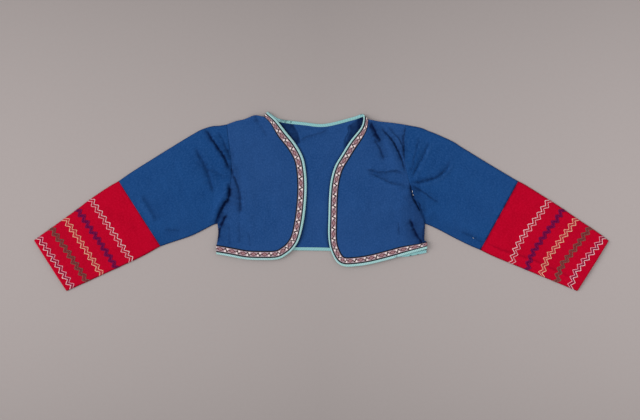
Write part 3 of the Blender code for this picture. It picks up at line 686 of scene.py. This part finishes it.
def add_mesh(name, points, faces, uv, finish, thickness=SHEET, colours=None, dark=None):
    """A named piece that rides on the jacket: points and uv in mm, thickness to its inner side."""
    mesh = bpy.data.meshes.new(name)
    mesh.from_pydata((np.asarray(points) * MM).tolist(), [], faces)
    loops = np.zeros(len(mesh.loops), dtype=np.int64)
    mesh.loops.foreach_get("vertex_index", loops)
    layer = mesh.uv_layers.new(name="Cloth")
    layer.data.foreach_set("uv", (np.asarray(uv)[loops, :2] * MM).astype(np.float32).ravel())
    if colours is not None:
        paint = mesh.color_attributes.new("Thread", "FLOAT_COLOR", "CORNER")
        per_face = np.repeat(np.asarray(colours, np.float32), [len(f) for f in faces], axis=0)
        per_face[:, 3] = 1  # opaque, also where a thread is drawn paler or darker
        paint.data.foreach_set("color", per_face.ravel())
    # The Crease attribute carries painted shade, and below 0 painted highlight; on the bindings, grime and
    # painted shade.
    if dark is not None:
        mesh.attributes.new("Crease", "FLOAT", "POINT").data.foreach_set("value", dark.astype(np.float32))
    mesh.materials.append(finish)
    mesh.shade_smooth()
    piece = placed(name, mesh)
    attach(piece, "root")
    if thickness:
        solid = piece.modifiers.new("cloth", "SOLIDIFY")
        solid.thickness = thickness * MM
        solid.offset = -1.0
    return piece


def declare(piece, node, flat):
    """Hides the solid that a piece stands for; flat is its cut in mm, and is not used."""
    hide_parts(node)
    flat = tuple(side * MM for side in flat)


class Nodes:
    """A material, with short ways to add and link its shader nodes."""

    def __init__(self, name):
        self.material = bpy.data.materials.new(name)
        self.material.use_nodes = True
        self.tree = self.material.node_tree
        self.shader = self.tree.nodes["Principled BSDF"]

    def add(self, kind, settings=None, **inputs):
        node = self.tree.nodes.new(kind)
        for key, value in (settings or {}).items():
            setattr(node, key, value)
        for key, value in inputs.items():
            self.set(node.inputs[key.replace("_", " ")], value)
        return node

    def set(self, socket, value):
        if isinstance(value, bpy.types.NodeSocket):
            self.tree.links.new(value, socket)
        else:
            socket.default_value = value

    def math(self, operation, first, second=0.0):
        node = self.add("ShaderNodeMath", {"operation": operation})
        self.set(node.inputs[0], first)
        self.set(node.inputs[1], second)
        return node.outputs[0]

    def noise(self, vector, scale, detail=3.0, roughness=0.5):
        return self.add("ShaderNodeTexNoise", Vector=vector, Scale=scale, Detail=detail,
                        Roughness=roughness).outputs["Fac"]

    def ramp(self, value, low, high, to_low, to_high):
        node = self.add("ShaderNodeMapRange")
        for key, setting in (("Value", value), ("From Min", low), ("From Max", high),
                             ("To Min", to_low), ("To Max", to_high)):
            self.set(node.inputs[key], setting)
        return node.outputs["Result"]

    def mix(self, share, first, second, blend="MIX"):
        node = self.add("ShaderNodeMix", {"data_type": "RGBA", "blend_type": blend})
        for socket, value in ((0, share), (6, first), (7, second)):
            self.set(node.inputs[socket], value)
        return node.outputs[2]

    def scaled(self, vector, x, y):
        node = self.add("ShaderNodeVectorMath", {"operation": "MULTIPLY"})
        self.set(node.inputs[0], vector)
        node.inputs[1].default_value = (x, y, 1)
        return node.outputs[0]

    def bump(self, height, distance, strength=1.0, normal=None):
        node = self.add("ShaderNodeBump", Height=height, Distance=distance, Strength=strength)
        if normal is not None:
            self.set(node.inputs["Normal"], normal)
        return node.outputs[0]

    def uv(self):
        return self.add("ShaderNodeUVMap", {"uv_map": "Cloth"}).outputs[0]

    def marked(self):
        """The value that a piece's vertices carry: painted shade in creases, folds, seams and beside edges
        that lie over the cloth, painted highlight below 0, and on the bindings grime and painted shade.
        """
        return self.add("ShaderNodeAttribute", {"attribute_name": "Crease"}).outputs["Fac"]

    def finished(self, colour, roughness, specular, normal=None):
        for key, value in (("Base Color", colour), ("Roughness", roughness),
                           ("Specular IOR Level", specular), ("Normal", normal)):
            if value is not None:
                self.set(self.shader.inputs[key], value)
        return self.material


def thread_weave(n, uv, pitch):
    """Height of a plain weave whose threads are pitch apart, in mm."""
    split = n.add("ShaderNodeSeparateXYZ", Vector=uv)
    turn = math.pi / (pitch * MM)
    across = n.math("SINE", n.math("MULTIPLY", split.outputs[0], turn))
    along = n.math("SINE", n.math("MULTIPLY", split.outputs[1], turn))
    return n.math("ADD", n.math("MULTIPLY", n.math("MULTIPLY", across, along), 0.5), 0.5)


def cotton(name, colour, dark, light, deep, highlight):
    """Plain-weave cotton: fine threads, slubs, soft mottling, painted shade in the creases and painted
    highlight on their crests.
    """
    n = Nodes(name)
    uv = n.uv()
    weave = thread_weave(n, uv, 0.62)
    warp = n.noise(n.scaled(uv, 1500, 60), 1.0, 2.0)
    weft = n.noise(n.scaled(uv, 60, 1500), 1.0, 2.0)
    slubs = n.math("ADD", warp, weft)
    mottle = n.noise(uv, 22.0, 4.0, 0.55)
    soft = n.noise(uv, 6.0, 2.0, 0.5)
    base = n.mix(n.ramp(mottle, 0.3, 0.7, 0.0, 1.0), dark, colour)
    base = n.mix(n.ramp(soft, 0.35, 0.7, 0.0, 0.5), base, light)
    base = n.mix(n.ramp(slubs, 0.8, 1.2, 0.0, 0.22), base, dark)
    fleck = n.noise(n.scaled(uv, 300, 240), 1.0, 2.0, 0.8)
    # Random lighter flecks, tinted half-way to the highlight colour.
    base = n.mix(n.ramp(fleck, 0.42, 0.75, 0.0, 0.9), base, n.mix(0.5, light, highlight))
    crease = n.marked()
    # Painted highlight where the vertices carry values below 0, painted shade in the deep colour where
    # above 0.
    base = n.mix(n.ramp(crease, 0.0, -1.0, 0.0, 0.55), base, highlight)
    base = n.mix(n.ramp(crease, 0.0, 1.0, 0.0, 0.97), base, deep)
    normal = n.bump(n.noise(uv, 45.0, 5.0, 0.6), 0.0016, 0.55)
    normal = n.bump(n.math("ADD", weave, n.math("MULTIPLY", slubs, 0.8)), 0.00018, 0.5, normal)
    return n.finished(base, n.ramp(slubs, 0.7, 1.3, 0.78, 0.92), 0.04, normal)


def ribbed_binding(name, light, dark):
    """Ribbed bias binding: cross ribs with painted shade in their valleys and a slight sheen, and a little
    grime with painted shade.
    """
    n = Nodes(name)
    uv = n.uv()
    split = n.add("ShaderNodeSeparateXYZ", Vector=uv)
    slant = n.math("ADD", split.outputs[0], n.math("MULTIPLY", split.outputs[1], RIB_SLANT))
    rib = n.math("SINE", n.math("MULTIPLY", slant, math.tau / (RIB_PITCH * MM)))
    rib = n.ramp(rib, -1.0, 1.0, 0.0, 1.0)
    fade = n.noise(uv, 30.0, 3.0)
    # The valleys between the ribs are painted in the darker colour: painted shade.
    base = n.mix(n.ramp(rib, 0.0, 0.55, 0.75, 0.0), light, dark)
    base = n.mix(n.ramp(fade, 0.35, 0.75, 0.0, 0.4), base, BINDING_GREEN)
    # The grime and painted shade that the vertices carry.
    base = n.mix(n.marked(), base, BINDING_GRIME_AND_SHADE)
    n.shader.inputs["Sheen Weight"].default_value = 0.1
    return n.finished(base, 0.6, 0.3, n.bump(n.noise(n.scaled(uv, 2200, 300), 1.0), 0.00012, 0.6))


def painted_thread(name, roughness, pitch, shine):
    """Threads whose colours are painted on the mesh, with the ribs and shine of yarn."""
    n = Nodes(name)
    uv = n.uv()
    paint = n.add("ShaderNodeVertexColor", {"layer_name": "Thread"}).outputs["Color"]
    weave = thread_weave(n, uv, pitch)
    grain = n.noise(uv, 1400.0, 2.0)
    yarn = n.math("ADD", weave, grain)
    shade = n.ramp(yarn, 0.4, 1.6, 0.78, 1.1)
    grey = n.add("ShaderNodeCombineColor", Red=shade, Green=shade, Blue=shade).outputs[0]
    return n.finished(n.mix(1.0, paint, grey, "MULTIPLY"), roughness, shine, n.bump(yarn, 0.00015, 0.6))


def make_front(side, finish):
    """A front: rails that follow its bound edge, and an even grid inside."""
    edge = side.edge
    count = len(edge.line)
    armhole = side.armhole[::-1]
    seam = side.side[::-1][:-1]
    seam = seam[seam[:, 1] > side.inner[-1, 1] + STEP / 2]
    outline = np.vstack([side.inner, seam, armhole, side.shoulder[::-1][1:-1]])
    grid = crease_grid(side.creases, outline, GRID)
    distances = [PANEL_EDGE, 4.0] + [RIBBON_OUT + k * RIBBON / 5 for k in range(5)]
    rails = [edge.rail(d) for d in distances]
    points = np.vstack([outline, grid] + rails)
    faces = triangulated(outline, grid)
    start = len(outline) + len(grid)
    order = [start + k * count for k in range(len(rails))] + [0]
    for first, second in zip(order[:-1], order[1:]):
        for i in range(count - 1):
            quad = (first + i, first + i + 1, second + i + 1, second + i)
            faces.append(quad if side.out > 0 else quad[::-1])
    under = side.front(points)
    under[:count] = edge.level
    under[start:] = np.tile(edge.level, len(rails))
    points = np.column_stack([points, under + CLOTH])
    # Painted shade in the creases, seams and broad shades, and painted highlight on the crests.
    dark = side.shade(points[:, :2])
    return add_mesh(f"front_{side.name}_cloth", points, faces, points, finish, dark=dark)


def make_back(left, right, neck, hem, finish):
    """The back, raised where its bindings pass under it, softly uneven where it shows, with painted shade
    in its creases, beside the fronts' edges and in the hollows at its neck.
    """
    foot = BINDING + 2 * GAP
    halves = []
    for side, end in ((left, 0), (right, -1)):
        lowest = hem.rail(foot)[end]
        seam = side.side[side.side[:, 1] > lowest[1] + STEP][1:]
        halves.append(np.vstack([neck.rail(foot)[end], side.shoulder[:-1], side.armhole, seam, lowest]))
    neck_rail = neck.rail(PANEL_EDGE)[::-1]
    outline = np.vstack([neck_rail, halves[0], hem.rail(PANEL_EDGE), halves[1][::-1]])
    creases = Creases(BACK_CREASES)
    hidden = Creases(HIDDEN_CREASES)
    grid = crease_grid(Creases(BACK_CREASES + HIDDEN_CREASES), outline, BACK_STEP)
    points = np.vstack([outline, grid])
    near = np.minimum(nearest(points, neck.line)[0], nearest(points, hem.line)[0])
    under = BOUND_LEVEL * (1 - smooth_step((near - RIBBON_OUT) / RAISE_REACH))
    fronts = np.minimum(nearest(points, left.edge.line)[0], nearest(points, right.edge.line)[0])
    clear = inside(points, np.vstack([left.edge.line, right.edge.line[::-1]]))
    free = clear * smooth_step(fronts / 14) * smooth_step(near / 14)
    rise = free * np.maximum(0.5 + 0.4 * ripple(points, 110, 24, 17) + creases.relief(points), -0.3)
    # Painted shade in the creases that show, a painted shadow beside the fronts' edges, and painted shade
    # of the hidden creases on the underside.
    light = (1 - clear * creases.shade(points)) * (1 - 0.95 * np.exp(-((fronts / 3.4) ** 2)))
    light *= 1 - (1 - clear) * hidden.shade(points)
    uneven = 1 + 0.16 * ripple(points, 30, 8, 47)
    # Painted shade in the hollows beside the neck.
    for soft, most, corners in HOLLOW_SHADES:
        corners = np.array(corners, float)
        off = nearest(points, np.vstack([corners, corners[:1]]))[0]
        deep = 0.5 + 0.5 * np.clip(np.where(inside(points, corners), off, -off) / soft, -1, 1)
        light *= 1 - clear * np.clip(most * uneven, 0, 1) * deep
    dark = 1 - light
    points = np.column_stack([points, under + rise + CLOTH])
    faces = triangulated(outline, grid)
    return add_mesh("back_cloth", points, faces, points, finish, dark=dark)


def make_binding(name, edge, finish):
    """The binding as it wraps its edge, with soft corners and cross ribs."""
    low = -GAP - CLOTH
    high = 2 * CLOTH + GAP
    middle = (low + high) / 2
    half = (high - low) / 2
    profile = [(BINDING, low + 0.15, 0), (BINDING - 1, low, 0), (ROLL_REACH, low, 0)]
    for angle in np.radians(np.arange(-75, 76, 30)):
        profile.append((1.8 - 1.8 * math.cos(angle), middle + half * math.sin(angle), 0))
    # The last column says which points keep their distance from the visible inner side.
    profile += [(2.2, high, 0), (-0.8, high - 0.05, 1), (-0.2, high - 0.35, 1), (0, high - 0.9, 1)]
    profile = np.array(profile)
    step = RIB_PITCH / 4
    at = np.arange(0, edge.along[-1] + step, step).clip(0, edge.along[-1])
    level = np.interp(at, edge.along, edge.level)
    points, uv = [], []
    shown = np.interp(at, edge.along, edge.binding)
    around = lengths_along(profile[:, :2] + profile[:, 2:] * (np.mean(shown), 0))
    for (d, h, moves), q in zip(profile, around):
        d = d + moves * shown
        swell = RIB_HIGH * (h > 0) * np.sin(math.tau * (at + RIB_SLANT * q) / RIB_PITCH)
        roll = np.maximum(1 - d / ROLL_REACH, 0) * np.interp(at, edge.along, edge.plump)
        spot = edge.reach(at, d) - roll[:, None] * read_at(edge.across, edge.along, at)
        points.append(np.column_stack([spot, level + h + swell]))
        uv.append(np.column_stack([at, np.full(len(at), q)]))
    faces = grid_faces(len(profile), len(at))
    if edge.inward < 0:
        faces = [f[::-1] for f in faces]
    points = np.vstack(points)
    # Grime at the neck and painted shade along the hems.
    dark = np.zeros(len(points))
    for x, y, half_length, most in GRIME_AND_SHADE:
        off = np.linalg.norm(points[:, :2] - (x, y), axis=1)
        dark = np.maximum(dark, (most + 0.25 * ripple(points[:, :2], 9, 3, 41)) * (off < half_length))
    return add_mesh(name, points, faces, np.vstack(uv), finish, BINDING_SHEET, dark=dark)


def ribbon_yarn(row, column):
    """The yarn of one cell: row counts from the binding, column runs along the ribbon."""
    across = row + 0.5 - RIBBON_ROWS / 2
    half = RIBBON_ROWS / 2 - SELVEDGE
    if abs(across) > half:
        return "black"
    if abs(across) > half - 1:
        return "edge"
    half -= 1
    place = column % REPEAT - REPEAT // 2
    if abs(place) <= DIAMOND:
        reach = DIAMOND * (1 - abs(across) / half)
        inwards = reach - abs(place)
        if inwards < -1:
            return "edge"
        return "pink" if 2 * STROKE <= inwards <= CORE else "rose"
    gap = REPEAT / 2 - DIAMOND
    off = place - math.copysign(REPEAT / 2, place)
    steep = abs(off) < HOOK
    zigzag = off / HOOK if steep else math.copysign((gap - abs(off)) / (gap - HOOK), off)
    slope = half / HOOK if steep else half / (gap - HOOK)
    return "red" if abs(across - half * zigzag) < STROKE * math.hypot(1, slope) else "white"


def make_ribbon(side, finish):
    """The woven ribbon, one cell of its pattern to a face."""
    edge = side.edge
    columns = round(edge.along[-1] / CELL)
    at = np.linspace(0, edge.along[-1], columns + 1)
    level = np.interp(at, edge.along, edge.level)
    near = np.interp(at, edge.along, edge.binding) + 0.1
    far = BAND + np.interp(at, edge.along, side.over)
    high = 2 * CLOTH + GAP - RIBBON_SINK
    points, uv = [], []
    for share in np.linspace(0, 1, RIBBON_ROWS + 1):
        d = near + share * (far - near)
        crown = high - RIBBON_SINK * (2 * share - 1) ** 6
        points.append(np.column_stack([edge.reach(at, d), level + crown]))
        uv.append(np.column_stack([at, d]))
    faces = grid_faces(RIBBON_ROWS + 1, columns + 1)
    colours = [RIBBON_YARN[ribbon_yarn(r, c)] for r in range(RIBBON_ROWS) for c in range(columns)]
    if side.out < 0:
        faces = [f[::-1] for f in faces]
    return add_mesh(f"ribbon_{side.name}_band", np.vstack(points), faces, np.vstack(uv), finish,
                    RIBBON_SHEET, colours)


class Tube:
    """A sleeve or cuff as a flattened tube between two folded edges and two end lines."""

    def __init__(self, side, top, low, start, end):
        self.side = side
        self.top, self.low = smooth_curve(top, 1.0), smooth_curve(low, 1.0)
        self.start, self.end = start, end
        self.length = (lengths_along(self.top)[-1] + lengths_along(self.low)[-1]) / 2

    def plan(self, u, c):
        """Plan points at shares u along and c across, from the upper edge to the lower one."""
        t, b = at_shares(self.top, u), at_shares(self.low, u)
        a, e = at_shares(self.start, c), at_shares(self.end, c)
        u, c = u[:, None], c[:, None]
        corner = (1 - c) * ((1 - u) * self.top[0] + u * self.top[-1])
        corner = corner + c * ((1 - u) * self.low[0] + u * self.low[-1])
        return (1 - c) * t + c * b + (1 - u) * a + u * e - corner

    def width(self, u):
        return np.linalg.norm(at_shares(self.top, u) - at_shares(self.low, u), axis=1)

    def surface(self, u, q):
        """Points of the outer side at shares u along and q round it: 0 to 1 over the upper layer
        from the upper edge, and 1 to 2 back under the lower one."""
        q = q % 2
        over = q <= 1
        c = np.where(over, q, 2 - q)
        flat = self.plan(u, c)
        d = np.minimum(c, 1 - c) * self.width(u)
        middle = CLOTH + GAP / 2
        high = middle + (self.side.upper(flat) + CLOTH - middle) * round_rise(d / 4.5)
        low = middle * (1 - round_rise(d / 3.5))
        return np.column_stack([flat, np.where(over, high, low)])


def ring_places(width, step, fine=(0.12, 0.45, 1.0, 1.8, 2.9, 4.4)):
    """Shares across a tube, close together at its folded edges."""
    fine = np.array(fine) / width
    count = max(2, round((width - 9) / step))
    inner = np.linspace(fine[-1], 1 - fine[-1], count)
    return np.concatenate([[0], fine[:-1], inner, 1 - fine[:-1][::-1], [1]])


def make_tube(name, tube, finish, over_step, under_step):
    """A cloth tube, open at both ends, with one face of thickness inwards."""
    width = tube.width([0.5])[0]
    over = ring_places(width, over_step)
    under = 2 - ring_places(width, under_step)[::-1][1:-1]
    around = np.concatenate([over, np.sort(under)])
    rows = round(tube.length / over_step) + 1
    shares = np.linspace(0, 1, rows)
    u = np.repeat(shares, len(around))
    q = np.tile(around, rows)
    points = tube.surface(u, q)
    n = len(around)
    faces = []
    for r in range(rows - 1):
        for c in range(n):
            a, b = r * n + c, r * n + (c + 1) % n
            faces.append((a, a + n, b + n, b) if tube.side.out < 0 else (a, b, b + n, a + n))
    uv = np.column_stack([q * width, u * tube.length])
    across = np.minimum(q % 1, 1 - q % 1) * width
    # Painted shade and highlight from the creases, at half strength on the underside.
    dark = tube.side.shade(points[:, :2]) * np.where(q <= 1, 1, 0.5)
    lower = (q > 0.5) & (q < 1.5)
    # Painted shade along the folded edges, deeper along the lower one.
    fold = np.where(lower, 0.72, 0.45) * np.exp(-((across / 1.9) ** 2))
    dark = np.where(fold > 0.03, 1 - (1 - np.maximum(dark, 0)) * (1 - fold), dark)
    return add_mesh(name, points, faces, uv, finish, dark=dark)


def stitch_template():
    """One plump stitch from x = -0.5 to 0.5: points and faces."""
    rings = [(-0.34, 0.72), (0.0, 1.0), (0.34, 0.72)]
    sides = 5
    points = [(-0.5, 0, 0)]
    for x, size in rings:
        for k in range(sides):
            angle = math.tau * k / sides + math.pi / 2
            points.append((x, 0.5 * size * math.cos(angle), 0.5 * size * math.sin(angle)))
    points.append((0.5, 0, 0))
    faces = [(0, 1 + (k + 1) % sides, 1 + k) for k in range(sides)]
    for r in range(len(rings) - 1):
        for k in range(sides):
            a, b = 1 + r * sides + k, 1 + r * sides + (k + 1) % sides
            faces.append((a, b, b + sides, a + sides))
    last = 1 + (len(rings) - 1) * sides
    faces += [(last + k, last + (k + 1) % sides, len(points) - 1) for k in range(sides)]
    return np.array(points), faces


def lay_stitches(starts, ends, normals, colours, wide, sink=0.12):
    """Stitches from each start to its end, seated on the cloth. Returns points, faces, colours."""
    template, faces = stitch_template()
    n = len(template)
    run = ends - starts
    length = np.linalg.norm(run, axis=1)[:, None]
    x = run / length
    y = np.cross(normals, x)
    y /= np.linalg.norm(y, axis=1)[:, None]
    z = np.cross(x, y)
    middle = (starts + ends) / 2 + z * (STITCH_HIGH / 2 - sink)
    points = (middle[:, None, :] + template[None, :, 0:1] * (length * 1.08)[:, None, :] * x[:, None, :]
              + template[None, :, 1:2] * wide[:, None, None] * y[:, None, :]
              + template[None, :, 2:3] * STITCH_HIGH * z[:, None, :])
    out_faces, out_colours = [], []
    for i in range(len(starts)):
        out_faces += [tuple(i * n + k for k in f) for f in faces]
        out_colours += [colours[i]] * len(faces)
    return points.reshape(-1, 3), out_faces, out_colours


def stitched(name, points, faces, finish, colours):
    piece = add_mesh(name, points, faces, points, finish, 0, colours)
    return piece


def make_embroidery(name, tube, finish):
    """Five bands of three zigzag lines of stitches each, all round a cuff."""
    draw = np.random.default_rng(7 if tube.side.out < 0 else 8)
    bow = np.array(BOW[tube.side.name])
    all_starts, all_ends, all_colours, wide = [], [], [], []
    for from_end, apart, stitch, *names in BANDS:
        share = 1 - from_end / tube.length
        repeats = round(2 * tube.width([share])[0] / ZIGZAG_PERIOD)
        corners = np.arange(2 * repeats + 1)
        stray = draw.normal(0, UNEVEN, (2, len(corners)))
        stray[:, -1] = stray[:, 0]
        for k, colour_name in enumerate(names):
            zig = np.where(corners % 2 == 0, -0.5, 0.5) * ZIGZAG_HIGH + stray[0]
            distance = from_end + (k - 1) * apart + zig
            t = np.linspace(0, len(corners) - 1, (len(corners) - 1) * STITCHES_A_LEG + 1)
            along = np.interp(t, corners, distance) + draw.normal(0, 0.18, len(t))
            around = np.interp(t, corners, corners + stray[1] * 2 / ZIGZAG_PERIOD)
            around *= 2 / (len(corners) - 1)
            along = np.maximum(along + np.interp(around % 2, bow[:, 0], bow[:, 1]), 2)
            spots = tube.surface(1 - along / tube.length, around)
            all_starts.append(spots[:-1])
            all_ends.append(spots[1:])
            shades = draw.uniform(0.82, 1.12, (len(t) - 1, 1))
            all_colours.append(shades * THREADS[colour_name])
            wide.append(np.full(len(t) - 1, stitch))
    starts, ends = np.vstack(all_starts), np.vstack(all_ends)
    colours = np.vstack(all_colours)
    normals = tube_normals(tube, starts, ends)
    points, faces, painted = lay_stitches(starts, ends, normals, colours, np.concatenate(wide))
    points[:, 2] = np.maximum(points[:, 2], 0.02)
    return stitched(name, points, faces, finish, painted)


def make_loose_ends(side, finish):
    """Short ends of white thread that lie on the cloth at the underarm and on the sleeve."""
    ends = np.array(LOOSE_ENDS, float).reshape(-1, 2)
    high = side.upper(ends) + CLOTH
    spots = np.column_stack([ends, high]).reshape(-1, 2, 3)
    up = np.tile([0.0, 0.0, 1.0], (len(spots), 1))
    colours = np.tile(THREADS["end"], (len(spots), 1))
    wide = np.full(len(spots), LOOSE_WIDE)
    points, faces, painted = lay_stitches(spots[:, 0], spots[:, 1], up, colours, wide)
    return stitched(f"loose_ends_{side.name}", points, faces, finish, painted)


def tube_normals(tube, starts, ends):
    """Outward directions of a tube: up on its upper layer, down on its lower one."""
    middle = (starts + ends) / 2
    level = CLOTH + GAP / 2
    up = np.clip((middle[:, 2] - level) / 1.0, -1, 1)
    up = np.where(np.abs(up) < 0.15, 0.15, up)
    return np.column_stack([0 * up, 0 * up, up])


def make_stage():
    """Pale paper with painted shade: darker towards its top and bottom, and a little darker down its
    middle than at its sides.
    """
    n = Nodes("floor paper")
    place = n.add("ShaderNodeTexCoord").outputs["Object"]
    paper = n.mix(n.ramp(n.noise(place, 140.0, 4.0), 0.3, 0.7, 0.0, 0.06), FLOOR_COLOUR, FLOOR_GRAIN)
    spot = n.add("ShaderNodeSeparateXYZ", Vector=place)
    up = n.math("ADD", spot.outputs[1], 0.05)
    # Painted shade: darker towards the top and bottom, and a little down the middle.
    fall = n.math("ADD", n.ramp(n.math("MULTIPLY", up, up), 0.0, 0.5, 0.0, 0.32),
                  n.ramp(n.math("ABSOLUTE", spot.outputs[0]), 0.0, 0.7, 0.1, 0.0))
    finish = n.finished(n.mix(fall, paper, (0, 0, 0, 1)), 0.95, 0.1)
    mesh = bpy.data.meshes.new("floor")
    half = 4.0
    mesh.from_pydata([(-half, -half, 0), (half, -half, 0), (half, half, 0), (-half, half, 0)], [],
                     [(0, 1, 2, 3)])
    mesh.materials.append(finish)
    floor = placed("floor", mesh)
    floor.location.z = FLOOR_LEVEL * MM


def make_light():
    data = bpy.data.lights.new("window", "SUN")
    data.energy = SUN_ENERGY
    data.angle = math.radians(SUN_ANGLE)
    placed("window", data).rotation_euler = (-Vector(SUN)).to_track_quat("-Z", "Y").to_euler()
    world = bpy.data.worlds.new("studio")
    world.use_nodes = True
    sky = world.node_tree.nodes["Background"].inputs
    sky["Color"].default_value = (0.97, 0.98, 1.0, 1)
    sky["Strength"].default_value = SKY_STRENGTH
    bpy.context.scene.world = world


def make_camera():
    data = bpy.data.cameras.new("camera")
    data.lens = LENS
    data.sensor_width = SENSOR
    camera = placed("camera", data)
    x = (IMAGE[0] / 2 - BOX_CENTRE_PX[0]) * SCALE_PX * MM
    y = (BOX_CENTRE_PX[1] - IMAGE[1] / 2) * SCALE_PX * MM
    height = IMAGE[0] * SCALE_PX * MM * LENS / SENSOR
    camera.location = (x, y, height)
    bpy.context.scene.camera = camera
    bpy.context.scene.view_settings.view_transform = "Standard"


def main():
    make_camera()
    make_stage()
    make_light()
    blue, sleeve_blue, red = (cotton(name, *shades) for name, shades in COTTONS.items())
    # Each binding's colour, and a darker copy of it for the painted shade between its ribs.
    binding = ribbed_binding("mint binding", rgb(176, 214, 216), rgb(98, 150, 148))
    back_binding = ribbed_binding("mint binding of the back", rgb(148, 198, 203), rgb(88, 146, 146))
    ribbon = painted_thread("woven ribbon", 0.6, CELL, 0.2)
    thread = painted_thread("embroidery thread", 0.6, 0.5, 0.08)
    left, right = Side("left"), Side("right")
    neck = Edge(BACK_NECK, -1, BACK_NECK_ENDS, binding=SHOWN_NECK, plump=PLUMP_NECK)
    hem = Edge(BACK_HEM, 1, BACK_HEM_ENDS, binding=SHOWN_HEM, plump=PLUMP_HEM)
    declare(make_back(left, right, neck, hem, blue), "back", BACK_CUT)
    for name, edge in (("neck", neck), ("hem", hem)):
        declare(make_binding(f"binding_{name}_back_strip", edge, back_binding),
                f"binding_{name}_back", (BINDING_CUT, edge.along[-1]))
    for side in (left, right):
        name, long = side.name, side.edge.along[-1]
        declare(make_front(side, blue), f"front_{name}", FRONT_CUT)
        declare(make_binding(f"binding_front_{name}_strip", side.edge, binding),
                f"binding_front_{name}", (BINDING_CUT, long))
        declare(make_ribbon(side, ribbon), f"ribbon_{name}", (RIBBON, long))
        sleeve = Tube(side, SLEEVE_TOP[name], SLEEVE_LOW[name], side.armhole, side.cuff_seam)
        cuff = Tube(side, CUFF_TOP[name], CUFF_LOW[name], side.cuff_seam, side.cuff_end)
        piece = make_tube(f"sleeve_{name}_cloth", sleeve, sleeve_blue, 2.0, 6.0)
        loose = [make_loose_ends(side, thread)] if name == "right" else []
        declare(piece, f"sleeve_{name}", SLEEVE_CUT)
        piece = make_tube(f"cuff_{name}_cloth", cuff, red, 2.9, 4.0)
        stitches = make_embroidery(f"embroidery_{name}", cuff, thread)
        declare(piece, f"cuff_{name}", CUFF_CUT)


main()
